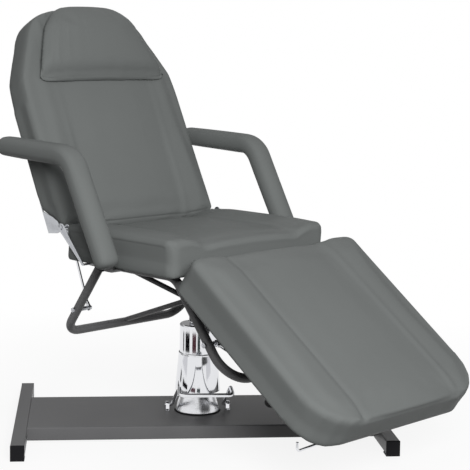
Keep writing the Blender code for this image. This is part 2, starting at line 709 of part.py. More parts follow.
def make_back_hinges(chair, back):
    """Thin straps from the rails, with riveted pins on the hinge line, and plates on the backrest."""
    pin_x, pin_z = BACK_HINGE_X, BACK_HINGE_Z
    strap_low = HINGE_STRAP_Y
    strap_high = strap_low + HINGE_SHEET
    foot_x, foot_z = (-0.146, 0.490)
    shelf = SEAT_UNDER - 0.0005
    rail = RAIL_Y + RAIL_RADIUS + GAP

    def strap(part):
        add_plate(part, link_outline((pin_x, pin_z), (foot_x, foot_z), 0.012, 0.0035), strap_low, strap_high)

    def strap_foot(part):
        add_box(part, (foot_x - 0.006, rail, shelf - 0.004), (foot_x + 0.006, strap_high, shelf))

    def pin(part):
        add_rod(part, (pin_x, HINGE_PLATE_Y - 0.001, pin_z), (pin_x, strap_high - 0.001, pin_z), HINGE_PIN)

    def rivet(part):
        add_rod(part, (pin_x, strap_high - 0.0015, pin_z), (pin_x, strap_high + 0.003, pin_z), 0.0075)

    pair("back_hinge_strap", "zinc", chair, [strap, strap_foot, pin, rivet])

    holes = bmesh.new()
    add_rod(holes, (pin_x, -0.35, pin_z), (pin_x, 0.35, pin_z), HINGE_PIN + GAP)
    under = BACK_TOP_Z - BACK_THICK - GAP
    board = -BACK_START - BACK_BOARD_START
    outline = arc((0.0, 0.0), 0.0075, -60, 215, 12)
    outline += [(-BACK_START - place, under + height) for place, height in HINGE_PLATE_EDGE]
    outline += [(board - 0.050, under), (board - 0.050, under - HINGE_SHEET),
                (-0.012, under - HINGE_SHEET), (0.002, -0.050)]

    def plate(part):
        add_plate(part, outline, HINGE_PLATE_Y, HINGE_PLATE_Y + HINGE_SHEET)

    def flange(part):
        add_box(part, (board - 0.050, 0.205, under - HINGE_SHEET),
                (board - 0.002, HINGE_PLATE_Y + HINGE_SHEET, under))

    pair("back_hinge_plate", "zinc", back, [plate, flange], [cutter(holes, chair)])


def back_half(place):
    """Half width of the backrest: round foot corners, straight sides, tapered round top."""
    if place < BACK_TAPER_START:
        return rounded_half(BACK_HALF, 0.038, place)
    if place < BACK_TAPER_END:
        share = (place - BACK_TAPER_START) / (BACK_TAPER_END - BACK_TAPER_START)
        return BACK_HALF + (BACK_TAPER_HALF - BACK_HALF) * share
    share = (place - BACK_TAPER_END) / (BACK_LENGTH - BACK_TAPER_END)
    return BACK_TOP_HALF + (BACK_TAPER_HALF - BACK_TOP_HALF) * math.sqrt(max(1 - share ** 2, 0.0))


def pillow_half(place):
    """Half width of the pillow, wide below and round above."""
    low = rounded_half(PILLOW_LOW_HALF, 0.030, place)
    share = place / PILLOW_LENGTH
    taper = PILLOW_LOW_HALF + (PILLOW_TOP_HALF - PILLOW_LOW_HALF) * share
    ending = (PILLOW_LENGTH - place) / 0.080
    return min(low, taper) - 0.07 * (1 - math.sqrt(max(1 - (1 - min(ending, 1.0)) ** 2, 0.0)))


def pillow_ring(half, thick):
    """A plump pillow section, flat behind and crowned in front."""
    points = [(half * math.cos(a), 0.25 * thick + thick * 0.75 * math.sin(a) ** 0.7)
              for a in (math.pi * i / 14 for i in range(1, 14))]
    right, left = (half, 0.30 * thick), (-half, 0.30 * thick)
    below = [(-half + 0.012, 0.0), (0.0, 0.0), (half - 0.012, 0.0)]
    return [right] + points + [left] + below


def back_board_shape(grow, low, high):
    """The backrest board, or the recess for it with the board grown by a gap."""
    bm = bmesh.new()
    rings = []
    length = BACK_LENGTH - BACK_BOARD_START - BACK_BOARD_END
    for i in range(13):
        share = 0.5 - 0.5 * math.cos(math.pi * i / 12)
        place = BACK_BOARD_START + length * share
        half = back_half(place) - BOARD_INSET + grow
        along = BACK_START + place + grow * (2 * share - 1)
        corners = [(half, low), (half, high), (-half, high), (-half, low)]
        rings.append([bm.verts.new((along, y, z)) for y, z in corners])
    join_rings(bm, rings)
    return bm


def make_backrest(back):
    """Cushion, board and head pillow. Places along the backrest run towards -X here."""
    flip = Matrix.Rotation(math.pi, 3, "Z")
    low = BACK_TOP_Z - BACK_THICK
    bm = bmesh.new()
    add_cushion(bm, BACK_LENGTH, back_half, BACK_THICK - 0.004, (0.014, 0.034), (0.006, 0.036), 0.010,
                lambda place: 1 - eased((place - 0.15) / 0.25), 18, (BACK_SLANT, BACK_SIDE_SLANT))
    bmesh.ops.rotate(bm, matrix=flip, verts=bm.verts)
    bmesh.ops.translate(bm, vec=(-BACK_START, 0, low), verts=bm.verts)
    cushion = piece("back_cushion", bm, "leather", back)
    board = back_board_shape(0.0, low, low + BOARD_THICK)
    bmesh.ops.rotate(board, matrix=flip, verts=board.verts)
    piece("back_board", board, "board", back)
    recess = back_board_shape(GAP, low - 0.01, low + BOARD_THICK + GAP)
    bmesh.ops.rotate(recess, matrix=flip, verts=recess.verts)
    boolean(cushion, cutter(recess, back), "DIFFERENCE")

    bm = bmesh.new()
    rings = []
    for i in range(15):
        place = PILLOW_LENGTH * (0.5 - 0.5 * math.cos(math.pi * i / 14))
        ending = min(place, PILLOW_LENGTH - place)
        plump = 0.35 + 0.65 * math.sqrt(min(ending / 0.07, 1.0) * (2 - min(ending / 0.07, 1.0)))
        ring = pillow_ring(pillow_half(place), PILLOW_THICK * plump)
        rings.append([bm.verts.new((place, y, z)) for y, z in ring])
    join_rings(bm, rings)
    bmesh.ops.rotate(bm, matrix=flip, verts=bm.verts)
    bmesh.ops.translate(bm, vec=(-BACK_START - PILLOW_START, 0, BACK_TOP_Z + 0.001), verts=bm.verts)
    piece("head_pillow", bm, "leather", back)


def leg_half(place):
    """Half width of the leg rest, with large round corners at the foot end."""
    return min(rounded_half(LEG_HALF, 0.026, place), rounded_half(LEG_HALF, 0.125, LEG_LENGTH - place))


def make_leg_rest(chair, leg):
    bm = bmesh.new()
    add_cushion(bm, LEG_LENGTH, leg_half, LEG_THICK - 0.003, (0.018, 0.012), (0.010, 0.042), steps=16)
    bmesh.ops.translate(bm, vec=(LEG_START, 0, LEG_UNDER_Z), verts=bm.verts)
    cushion = piece("leg_cushion", bm, "leather", leg)
    board_low = LEG_UNDER_Z
    top = board_low + BOARD_THICK
    reach, half, start = LEG_LENGTH - 0.090, LEG_HALF - BOARD_INSET, LEG_START + 0.025
    bm = bmesh.new()
    add_board(bm, reach, half, 0.085, board_low, top, start)
    piece("leg_board", bm, "board", leg)
    bm = bmesh.new()
    add_board(bm, reach + 2 * GAP, half + GAP, 0.085, board_low - 0.01, top + GAP, start - GAP)
    boolean(cushion, cutter(bm, leg), "DIFFERENCE")

    inner, outer = LEG_ARM_Y, LEG_ARM_Y + ANGLE_WALL
    flange = board_low - GAP
    outline = arc((0.0, 0.0), 0.0115, 180, 40, 6) + [(0.013, flange), (LEG_ARM_LENGTH, flange)]
    outline += [(LEG_ARM_LENGTH, flange - 0.010), (0.060, flange - ANGLE_LEG)]
    outline += arc((0.0, 0.0), 0.0115, 270, 200, 4)
    lug_inner = RAIL_Y + RAIL_RADIUS + GAP
    lug_outer = LEG_ARM_Y - 0.001
    pin_x, pin_z = LEG_HINGE_X, LEG_HINGE_Z
    knee = (FRONT_KNEE_X + 0.034, RAIL_Z - 0.020)
    holes = bmesh.new()
    add_rod(holes, (pin_x, -0.30, pin_z), (pin_x, 0.30, pin_z), HINGE_PIN + GAP)

    def arm(part):
        add_plate(part, outline, inner, outer)

    def arm_flange(part):
        add_box(part, (0.035, inner, flange - ANGLE_WALL), (LEG_ARM_LENGTH, inner + ANGLE_LEG, flange))

    def lug(part):
        add_plate(part, link_outline((pin_x, pin_z), knee, 0.0115, 0.014), lug_inner, lug_outer)

    def pin(part):
        add_rod(part, (pin_x, lug_inner + 0.001, pin_z), (pin_x, outer + 0.001, pin_z), HINGE_PIN)

    def rivet(part):
        add_rod(part, (pin_x, outer + GAP, pin_z), (pin_x, outer + 0.004, pin_z), 0.0075)

    pair("leg_hinge_arm", "paint", leg, [arm, arm_flange], [cutter(holes, chair)])
    pair("leg_hinge_lug", "paint", chair, [lug, pin, rivet])

    stop_top = board_low - GAP
    stop_low = stop_top - STOP_LENGTH
    profile = [(0.0, stop_low), (STOP_RADIUS - 0.004, stop_low), (STOP_RADIUS, stop_low + 0.004),
               (STOP_RADIUS - 0.002, stop_top), (0.0, stop_top)]
    pair("leg_rubber_stop", "rubber", leg, [
        lambda part: add_lathe(part, profile, 20, (STOP_X, STOP_Y - STOP_RADIUS, 0))])

    rod = 0.0035
    reach = -LEG_HALF - 0.004
    hang = board_low - GAP - rod
    bm = bmesh.new()
    add_tube(bm, [(HOOK_X - 0.10, -0.20, hang), (HOOK_X, -0.20, hang), (HOOK_X, reach, hang - 0.012),
                  (HOOK_X - 0.012, reach, hang + 0.008)], [0.012, 0.010], rod, 8, 4)
    piece("leg_pull_hook", bm, "chrome", leg)


def back_stay_top():
    """Place of the upper stay pivot on the lying backrest, as far from the hinge as the bolt is."""
    foot_x, foot_z = BACK_STAY_FOOT
    reach = math.hypot(foot_x - BACK_HINGE_X, foot_z - BACK_HINGE_Z)
    return (-math.sqrt(reach ** 2 - BACK_STAY_DEPTH ** 2), -BACK_STAY_DEPTH)


def turned(place, turn):
    """An (x, z) place turned about Y, as an empty turns its children."""
    x, z = place
    return (x * math.cos(turn) + z * math.sin(turn), z * math.cos(turn) - x * math.sin(turn))


def stay_heading(foot, hinge, turn, top):
    """Angle of a stay above the forward direction at rest."""
    top_x, top_z = turned(top, turn)
    return math.atan2(hinge[1] + top_z - foot[1], hinge[0] + top_x - foot[0])


def stay_pivot_hole(parent):
    bm = bmesh.new()
    add_rod(bm, (0, -0.25, 0), (0, 0.25, 0), STAY_BOLT + GAP, 10)
    return cutter(bm, parent)


def make_stay_rods(name, length, parent):
    """Round rods with a flat eye at the pivot."""
    def eye(part):
        outline = link_outline((0, 0), (0.016, 0), STAY_EYE, 0.0045)
        add_plate(part, outline, STAY_ROD_Y - 0.003, STAY_ROD_Y + 0.003)

    def shaft(part):
        add_rod(part, (0.010, STAY_ROD_Y, 0), (length, STAY_ROD_Y, 0), STAY_ROD, 10)

    pair(name, "chrome", parent, [eye, shaft], [stay_pivot_hole(parent)])


def make_stay_bars(name, length, parent):
    """Flat bars with saw notches along one edge."""
    count = int((length - 0.050) / NOTCH_PITCH)
    outline = arc((0, 0), STAY_BAR_HALF, 270, 90, 8) + [(length, STAY_BAR_HALF), (length, -STAY_BAR_HALF)]
    for i in range(count):
        place = length - 0.016 - i * NOTCH_PITCH
        outline += [(place, -STAY_BAR_HALF), (place, -STAY_BAR_HALF + NOTCH_DEPTH),
                    (place - 0.6 * NOTCH_PITCH, -STAY_BAR_HALF)]

    def bar(part):
        add_plate(part, outline, STAY_BAR_Y, STAY_BAR_Y + STAY_BAR_THICK)

    pair(name, "zinc", parent, [bar], [stay_pivot_hole(parent)])


def make_stay_bolts(name, place, leg_y, chair):
    """Bolts through the legs of a U tube, with a shoulder beside the rod eye and a nut at the end."""
    x, z = place
    outside = leg_y + RAIL_RADIUS + GAP
    inside = leg_y - RAIL_RADIUS - GAP
    shoulder = STAY_ROD_Y + 0.003 + GAP
    nut = STAY_ROD_Y - 0.003 - GAP

    def stem(part):
        add_rod(part, (x, nut - 0.004, z), (x, outside + 0.001, z), STAY_BOLT, 10)

    def head(part):
        add_rod(part, (x, outside, z), (x, outside + 0.006, z), 0.0075, 6)

    def spacer(part):
        add_rod(part, (x, shoulder, z), (x, inside, z), 0.0065, 10)

    def end_nut(part):
        add_rod(part, (x, nut - 0.005, z), (x, nut, z), 0.0065, 6)

    pair(name, "zinc", chair, [stem, head, spacer, end_nut])


def make_stay_brackets(name, top, board_low, parent):
    """Lugs under a board, each with the pin that a stay bar turns on."""
    inner = STAY_BAR_Y + STAY_BAR_THICK + GAP
    outer = inner + 0.004
    x, z = top

    def lug(part):
        outline = arc((x, z), 0.012, 180, 360, 8) + [(x + 0.018, board_low), (x - 0.018, board_low)]
        add_plate(part, outline, inner, outer)

    def flange(part):
        add_box(part, (x - 0.022, inner, board_low - 0.003), (x + 0.022, outer + 0.022, board_low))

    def pin(part):
        add_rod(part, (x, STAY_BAR_Y - 0.0002, z), (x, outer - 0.001, z), STAY_BOLT, 10)

    pair(name, "zinc", parent, [lug, flange, pin])


def make_stays(chair, back, leg):
    """The two pairs of sliding stays, with their pivots."""
    back_top = back_stay_top()
    leg_top = (LEG_STAY_X, -LEG_STAY_DEPTH)
    back_heading = stay_heading(BACK_STAY_FOOT, (BACK_HINGE_X, BACK_HINGE_Z), BACK_RISE, back_top)
    leg_heading = stay_heading(LEG_STAY_FOOT, (LEG_HINGE_X, LEG_HINGE_Z), LEG_DROP, leg_top)
    foot_x, foot_z = BACK_STAY_FOOT
    axis = empty("back_rod_axis", chair, (foot_x, 0, foot_z), -back_heading)
    make_stay_rods("back_stay_rod", BACK_ROD_LENGTH, axis)
    foot_x, foot_z = LEG_STAY_FOOT
    axis = empty("leg_rod_axis", chair, (foot_x, 0, foot_z), -leg_heading)
    make_stay_rods("leg_stay_rod", LEG_ROD_LENGTH, axis)

    axis = empty("back_bar_axis", back, (back_top[0], 0, back_top[1]), -back_heading - BACK_RISE + math.pi)
    make_stay_bars("back_stay_bar", BACK_BAR_LENGTH, axis)
    axis = empty("leg_bar_axis", leg, (leg_top[0], 0, leg_top[1]), -leg_heading - LEG_DROP + math.pi)
    make_stay_bars("leg_stay_bar", LEG_BAR_LENGTH, axis)

    make_stay_bolts("back_stay_bolt", BACK_STAY_FOOT, REAR_Y, chair)
    make_stay_bolts("leg_stay_bolt", LEG_STAY_FOOT, RAIL_Y, chair)
    back_low = BACK_TOP_Z - BACK_THICK - GAP
    make_stay_brackets("back_stay_bracket", back_top, back_low, back)
    make_stay_brackets("leg_stay_bracket", leg_top, LEG_UNDER_Z - GAP, leg)


def build():
    root = empty("base_axis", None, (PUMP_X, PUMP_Y, 0.0))
    pedal = empty("pedal_axis", root, (0.0, 0.0, PEDAL_AXIS_Z))
    lift = empty("lift_axis", root)
    chair = empty("swivel_axis", lift, turn_z=-SWIVEL)
    back = empty("back_axis", chair, (BACK_HINGE_X, 0.0, BACK_HINGE_Z), BACK_RISE)
    leg = empty("leg_axis", chair, (LEG_HINGE_X, 0.0, LEG_HINGE_Z), LEG_DROP)

    make_base_plate(root)
    make_foot_tubes(root)
    make_end_caps(root)
    make_pump(root)
    make_pedal(root, pedal)
    make_ram(lift)
    make_frame(chair)
    make_seat(chair)
    make_armrests(chair)
    make_back_hinges(chair, back)
    make_backrest(back)
    make_leg_rest(chair, leg)
    make_stays(chair, back, leg)


clear_scene()
FINISH = make_finishes()
build()
bpy.context.view_layer.update()
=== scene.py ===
import json
import math

import bmesh
import bpy
from bpy.props import FloatProperty, FloatVectorProperty, IntProperty, PointerProperty
from mathutils import Matrix, Vector, noise


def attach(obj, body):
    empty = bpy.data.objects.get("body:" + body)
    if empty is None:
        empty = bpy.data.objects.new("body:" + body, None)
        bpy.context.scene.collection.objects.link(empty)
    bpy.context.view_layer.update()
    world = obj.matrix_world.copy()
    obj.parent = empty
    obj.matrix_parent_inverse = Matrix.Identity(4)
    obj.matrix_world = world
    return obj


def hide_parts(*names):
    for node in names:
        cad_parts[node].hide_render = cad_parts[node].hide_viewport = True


bl_info = {
    "name": "Massage table looks",
    "version": (1, 0, 0),
    "blender": (4, 5, 0),
    "location": "View3D > Sidebar > Massage table",
    "description": "Upholstery, tubes, pump and finishes of a hydraulic massage table around its CAD frame",
    "category": "Object",
}

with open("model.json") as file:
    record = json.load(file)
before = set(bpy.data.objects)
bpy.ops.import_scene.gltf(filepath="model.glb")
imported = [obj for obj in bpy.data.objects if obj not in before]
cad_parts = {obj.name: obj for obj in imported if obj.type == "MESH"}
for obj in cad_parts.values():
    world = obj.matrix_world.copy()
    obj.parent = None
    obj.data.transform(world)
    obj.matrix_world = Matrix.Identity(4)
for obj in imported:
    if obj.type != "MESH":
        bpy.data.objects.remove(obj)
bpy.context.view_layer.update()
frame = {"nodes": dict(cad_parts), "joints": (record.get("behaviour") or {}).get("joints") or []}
JOINTS = {joint["name"]: joint for joint in frame["joints"]}
SIDES = ("left", "right")

# Sizes shared with the CAD model, in metres
GAP = 0.0003
TUBE_SIZE = 0.038
TUBE_WALL = 0.002
GLIDE_HEIGHT = 0.006
BASE_TOP = 0.044
FOOT_SPACING = 0.508
FOOT_HALF_LENGTH = 0.332
PLATE_HALF_WIDTH = 0.166
PLATE_LIP = 0.014
SHEET = 0.003
GASKET_THICKNESS = 0.002
PEDAL_AXIS_Z = 0.062
RAIL_RADIUS = 0.013
RAIL_Y = 0.213
RAIL_Z = 0.4784
REAR_U_Y = 0.228
BRACE_RADIUS = 0.0075
CREASE_Y = 0.188
LEG_UNDER_Z = 0.0035
HOOK_RADIUS = 0.0035

# Sizes of the sewn channels in the covers, in metres
CREASE_REACH = 0.03
CHANNEL_WIDTH = 0.013

# Angles in degrees past which an edge of a turned piece or of a tube stays sharp
TURNED_SHARP = 50
TUBE_SHARP = 60

# Lamps, which point at the middle of the chair, and the camera's place from the pump
LAMP_TARGET = Vector((0.0, 0.0, 0.6))
KEY_PLACE = Vector((0.215, -4.105, 2.15))
REAR_PLACE = Vector((1.2, 4.3, 1.25))
CAMERA_PLACE = (-0.32429, -3.90693, 1.11758)


def hinge_place(joint):
    """Where a joint's axis lies at rest."""
    return Matrix.Translation(JOINTS[joint]["pos_m"])


# Places of the moving groups at rest, from the frame's own joints
LATERAL = Vector(JOINTS["back_recline"]["axis"])
HEADING = Matrix.Rotation(-math.atan2(-LATERAL.x, -LATERAL.y), 4, "Z")
PUMP = hinge_place("chair_swivel")
CHAIR = PUMP @ HEADING
BACK_RISE = math.radians(JOINTS["back_recline"]["range_deg"][1])
LEG_DROP = math.radians(JOINTS["leg_rest_lift"]["range_deg"][1])
BACK = hinge_place("back_recline") @ HEADING @ Matrix.Rotation(BACK_RISE, 4, "Y")
LEG = hinge_place("leg_rest_lift") @ HEADING @ Matrix.Rotation(LEG_DROP, 4, "Y")


def linear(code):
    """An sRGB hex colour as linear values."""
    channels = [int(code[i:i + 2], 16) / 255 for i in (0, 2, 4)]
    return tuple(c / 12.92 if c <= 0.04045 else ((c + 0.055) / 1.055) ** 2.4 for c in channels)


def add_node(tree, kind, settings=None, links=None, feeds=None):
    """A shader node with its settings, links to its inputs, and the input that its first output feeds."""
    node = tree.nodes.new(kind)
    for key, value in (settings or {}).items():
        if isinstance(key, int) or key in node.inputs:
            node.inputs[key].default_value = value
        else:
            setattr(node, key, value)
    for key, source in (links or {}).items():
        tree.links.new(source, node.inputs[key])
    if feeds is not None:
        tree.links.new(node.outputs[0], feeds)
    return node


def empty_tree(owner):
    """The node tree of a material or a world, with nothing in it."""
    owner.use_nodes = True
    owner.node_tree.nodes.clear()
    return owner.node_tree


def start_material(name, settings):
    """A Principled material with its even values on the shader's own sockets, and the link to its place."""
    material = bpy.data.materials.get(name) or bpy.data.materials.new(name)
    material.use_nodes = True
    tree = material.node_tree
    shader = tree.nodes["Principled BSDF"]
    for key, value in settings.items():
        shader.inputs[key].default_value = value
    place = {"Vector": add_node(tree, "ShaderNodeTexCoord").outputs["Object"]}
    return material, tree, shader, place


def vary(tree, shader, tones, roughness, tone, gloss=None, relief=None):
    """Base colour and roughness that each run between two values with a pattern, and a bump from a relief."""
    low, high = tones
    ramp = add_node(tree, "ShaderNodeMix", {"data_type": "RGBA", 6: (*low, 1), 7: (*high, 1)}, {0: tone})
    tree.links.new(ramp.outputs[2], shader.inputs["Base Color"])
    add_node(tree, "ShaderNodeMapRange", {"To Min": roughness[0], "To Max": roughness[1]},
             {"Value": tone if gloss is None else gloss}, shader.inputs["Roughness"])
    if relief is not None:
        height, strength, distance = relief
        add_node(tree, "ShaderNodeBump", {"Strength": strength, "Distance": distance}, {"Height": height},
                 shader.inputs["Normal"])


def shaded(colour, *amounts):
    """A colour made darker or lighter by each amount."""
    return [tuple(channel * amount for channel in colour) for amount in amounts]


def synthetic_leather(looks):
    """Grey upholstery vinyl: a smooth embossed sheet with a fine pebble grain and a satin coat."""
    # Embossed vinyl shows soft highlights and broad, faint stretch tones, and the grain valleys are darkened
    # with painted shade.
    made, tree, shader, place = start_material("synthetic_leather", {"IOR": 1.5, "Specular IOR Level": 0.05})
    pebble = add_node(tree, "ShaderNodeTexVoronoi",
                      {"feature": "DISTANCE_TO_EDGE", "Scale": 1.0 / looks.leather_grain}, place)
    # Broad tones repeat about every 180 mm
    broad = add_node(tree, "ShaderNodeTexNoise", {"Scale": 5.5, "Detail": 3.0, "Roughness": 0.55}, place)
    # Stretch marks of the sheet over the foam, about 45 mm wide
    soft = add_node(tree, "ShaderNodeTexNoise", {"Scale": 22.0, "Detail": 2.0}, place)
    # Painted shade: the colour is darker at the edges of each pebble, in the valleys between them
    valley_shade = add_node(tree, "ShaderNodeMapRange", {"From Max": 0.12, "To Min": 0.0, "To Max": 0.35},
                      {"Value": pebble.outputs["Distance"]})
    tone = add_node(tree, "ShaderNodeMath", {"operation": "MULTIPLY_ADD", 1: 0.65},
                    {0: broad.outputs["Fac"], 2: valley_shade.outputs["Result"]})
    vary(tree, shader, shaded(looks.leather_colour, 0.90, 1.06), (0.40, 0.54), tone.outputs[0],
         soft.outputs["Fac"])
    slow = add_node(tree, "ShaderNodeBump", {"Strength": 0.10, "Distance": 0.004},
                    {"Height": soft.outputs["Fac"]})
    links = {"Height": pebble.outputs["Distance"], "Normal": slow.outputs["Normal"]}
    add_node(tree, "ShaderNodeBump", {"Strength": 0.22, "Distance": 0.0004}, links, shader.inputs["Normal"])
    return made


def powder_coat(looks):
    """Dark grey powder coat on steel: sprayed, baked, with a fine orange peel."""
    # Orange peel of about 1.5 mm breaks up the highlights, and broad tones of about 110 mm vary the colour.
    made, tree, shader, place = start_material("powder_coat", {"IOR": 1.5, "Specular IOR Level": 0.35})
    peel = add_node(tree, "ShaderNodeTexNoise", {"Scale": 1 / 0.0015, "Detail": 1.0}, place)
    broad = add_node(tree, "ShaderNodeTexNoise", {"Scale": 9.0, "Detail": 4.0}, place)
    vary(tree, shader, shaded(looks.paint_colour, 0.88, 1.12), (0.36, 0.50), broad.outputs["Fac"],
         relief=(peel.outputs["Fac"], 0.18, 0.0003))
    return made


def chrome_plate(looks):
    """Polished chrome plating on steel: a mirror with faint wipe marks."""
    # The mirror stays sharp; wipe marks of about 40 mm only change its gloss.
    made, tree, shader, place = start_material("chrome_plate", {"Metallic": 1.0})
    wipes = add_node(tree, "ShaderNodeTexNoise", {"Scale": 25.0, "Detail": 5.0, "Roughness": 0.6}, place)
    vary(tree, shader, shaded(looks.chrome_colour, 0.96, 1.0), (0.025, 0.075), wipes.outputs["Fac"])
    return made


def satin_chrome(looks):
    """Satin chrome plating on the cast pump foot: a soft mirror with a fine cast unevenness."""
    # Cast unevenness of about 15 mm under the plating blurs and bends the reflections.
    made, tree, shader, place = start_material("satin_chrome", {"Metallic": 1.0})
    cast = add_node(tree, "ShaderNodeTexNoise", {"Scale": 66.0, "Detail": 3.0}, place)
    vary(tree, shader, shaded(looks.chrome_colour, 0.90, 0.98), (0.20, 0.28), cast.outputs["Fac"],
         relief=(cast.outputs["Fac"], 0.15, 0.001))
    return made


def zinc_plate(looks):
    """Galvanised steel sheet: zinc crystals of about 4 mm with a satin shine."""
    # Each crystal has its own tone and gloss, so the sheet looks faintly mottled.
    made, tree, shader, place = start_material("zinc_plate", {"Metallic": 1.0})
    flakes = add_node(tree, "ShaderNodeTexVoronoi", {"feature": "F1", "Scale": 1 / 0.004}, place)
    tone = add_node(tree, "ShaderNodeSeparateColor", None, {"Color": flakes.outputs["Color"]})
    vary(tree, shader, shaded(looks.zinc_colour, 0.92, 1.02), (0.28, 0.38), tone.outputs[0], tone.outputs[1])
    return made


def moulded_plastic(looks):
    """Black polyethylene, moulded with a fine spark-eroded grain."""
    # Mould grain of about 0.6 mm dulls the surface, and scuffs of about 17 mm lighten it in places.
    made, tree, shader, place = start_material("moulded_plastic", {"IOR": 1.5, "Specular IOR Level": 0.12})
    grain = add_node(tree, "ShaderNodeTexNoise", {"Scale": 1 / 0.0006, "Detail": 2.0}, place)
    scuffs = add_node(tree, "ShaderNodeTexNoise", {"Scale": 60.0, "Detail": 6.0, "Roughness": 0.7}, place)
    vary(tree, shader, shaded(looks.plastic_colour, 0.75, 1.5), (0.42, 0.60), scuffs.outputs["Fac"],
         relief=(grain.outputs["Fac"], 0.2, 0.0003))
    return made


def black_rubber(looks):
    """Vulcanised black rubber: matte, with a little dust."""
    # Dust in spots of about 7 mm greys the rubber and takes its shine away.
    made, tree, shader, place = start_material("black_rubber", {"IOR": 1.52, "Specular IOR Level": 0.25})
    dust = add_node(tree, "ShaderNodeTexNoise", {"Scale": 140.0, "Detail": 5.0}, place)
    vary(tree, shader, (linear("0d0d0e"), linear("252526")), (0.70, 0.88), dust.outputs["Fac"])
    return made


def stained_plywood(looks):
    """Plywood board stained black: long, close grain and a dull surface."""
    # The stain leaves darker and lighter grain lines, about 3 mm apart.
    made, tree, shader, place = start_material("stained_plywood", {"IOR": 1.5, "Specular IOR Level": 0.3})
    turned = add_node(tree, "ShaderNodeMapping",
                      {"Rotation": (0, 0, math.radians(50.8)), "Scale": (1.0, 14.0, 1.0)}, place)
    grain = add_node(tree, "ShaderNodeTexNoise", {"Scale": 24.0, "Detail": 5.0, "Roughness": 0.6},
                     {"Vector": turned.outputs["Vector"]})
    vary(tree, shader, (linear("161617"), linear("313133")), (0.65, 0.85), grain.outputs["Fac"],
         relief=(grain.outputs["Fac"], 0.25, 0.0005))
    return made


def finish(name):
    """A finished material by its name, made on first use."""
    made = bpy.data.materials.get(name)
    if made is not None and made.get("table_finish"):
        return made
    made = FINISHES[name](bpy.context.scene.table_finishes)
    made["table_finish"] = True
    return made


MAKERS = (synthetic_leather, powder_coat, chrome_plate, satin_chrome, zinc_plate, moulded_plastic,
          black_rubber, stained_plywood)
FINISHES = {maker.__name__: maker for maker in MAKERS}


def new_object(name, bm):
    """An object in the scene with the mesh of a bmesh, which is used up."""
    mesh = bpy.data.meshes.new(name)
    bm.to_mesh(mesh)
    bm.free()
    item = bpy.data.objects.new(name, mesh)
    bpy.context.scene.collection.objects.link(item)
    return item


def show_piece(name, bm, material, body, nodes, place=None, sharp=35):
    """A finished piece from a bmesh: placed, smooth between its sharp edges, riding on a body."""
    if place is not None:
        bmesh.ops.transform(bm, matrix=place, verts=bm.verts)
    item = new_object(name, bm)
    item.data.shade_smooth()
    item.data.set_sharp_from_angle(angle=math.radians(sharp))
    item.data.materials.append(finish(material))
    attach(item, body)
    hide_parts(*nodes)


def dress_node(node, material):
    """Gives a CAD node that stays its finished material."""
    item = frame["nodes"][node]
    item.data.materials.clear()
    item.data.materials.append(finish(material))


def round_edges(bm, edges, width, segments=5, guarded=False):
    """Rounds edges; guarded keeps the rounds of neighbours apart."""
    bmesh.ops.bevel(bm, geom=edges, offset=width, offset_type="OFFSET", affect="EDGES", segments=segments,
                    profile=0.5, material=-1, clamp_overlap=guarded, loop_slide=guarded)


def show_softened(node, ending, material, body, width, segments=2):
    """Shows a CAD node as a merged copy of its mesh with its sharp edges eased."""
    bm = bmesh.new()
    bm.from_mesh(frame["nodes"][node].data)
    bmesh.ops.remove_doubles(bm, verts=bm.verts, dist=2e-6)
    bmesh.ops.dissolve_limit(bm, angle_limit=math.radians(1.0), verts=bm.verts, edges=bm.edges)
    sharp = [e for e in bm.edges if len(e.link_faces) == 2 and e.calc_face_angle() > math.radians(28)]
    round_edges(bm, sharp, width, segments, True)
    show_piece(node + ending, bm, material, body, [node])


def spin_round(bm, outline, angle, steps, closed=False):
    """Turns an outline of vertices and edges about the upright axis."""
    bmesh.ops.spin(bm, geom=outline, cent=(0, 0, 0), axis=(0, 0, 1), angle=angle, steps=steps,
                   use_merge=closed)


def turned_shape(profile, steps):
    """A profile of (radius, height) points turned about the upright axis."""
    bm = bmesh.new()
    ring = [bm.verts.new((radius, 0.0, height)) for radius, height in profile]
    edges = [bm.edges.new(ends) for ends in zip(ring, ring[1:])]
    spin_round(bm, ring + edges, 2 * math.pi, steps, True)
    bmesh.ops.remove_doubles(bm, verts=bm.verts, dist=1e-6)
    bmesh.ops.recalc_face_normals(bm, faces=bm.faces)
    return bm


def bend_path(corners, radii, steps):
    """A path through corner points with an arc of the given radius at each inner corner."""
    corners = [Vector(corner) for corner in corners]
    path = [corners[0]]
    for before, corner, after, radius in zip(corners, corners[1:], corners[2:], radii):
        back = (before - corner).normalized()
        ahead = (after - corner).normalized()
        half = back.angle(ahead) / 2
        middle = corner + (back + ahead).normalized() * radius / math.sin(half)
        first = corner + back * radius / math.tan(half) - middle
        last = corner + ahead * radius / math.tan(half) - middle
        sweep = first.angle(last)
        for i in range(steps + 1):
            part = sweep * i / steps
            path.append(middle + (first * math.sin(sweep - part) + last * math.sin(part)) / math.sin(sweep))
    path.append(corners[-1])
    return path


def bent_tube(path, radius, sides=6):
    """A round tube along a path, from a bevelled curve with closed ends, as a bmesh."""
    curve = bpy.data.curves.new("tube_line", "CURVE")
    curve.dimensions = "3D"
    spline = curve.splines.new("POLY")
    spline.points.add(len(path) - 1)
    for point, place in zip(spline.points, path):
        point.co = (*place, 1.0)
    curve.bevel_depth = radius
    curve.bevel_resolution = sides
    curve.use_fill_caps = True
    item = bpy.data.objects.new("tube_line", curve)
    bpy.context.scene.collection.objects.link(item)
    shape = item.evaluated_get(bpy.context.evaluated_depsgraph_get())
    bm = bmesh.new()
    bm.from_mesh(shape.to_mesh())
    shape.to_mesh_clear()
    bpy.data.objects.remove(item)
    bpy.data.curves.remove(curve)
    bmesh.ops.remove_doubles(bm, verts=bm.verts, dist=1e-6)
    bmesh.ops.recalc_face_normals(bm, faces=bm.faces)
    return bm


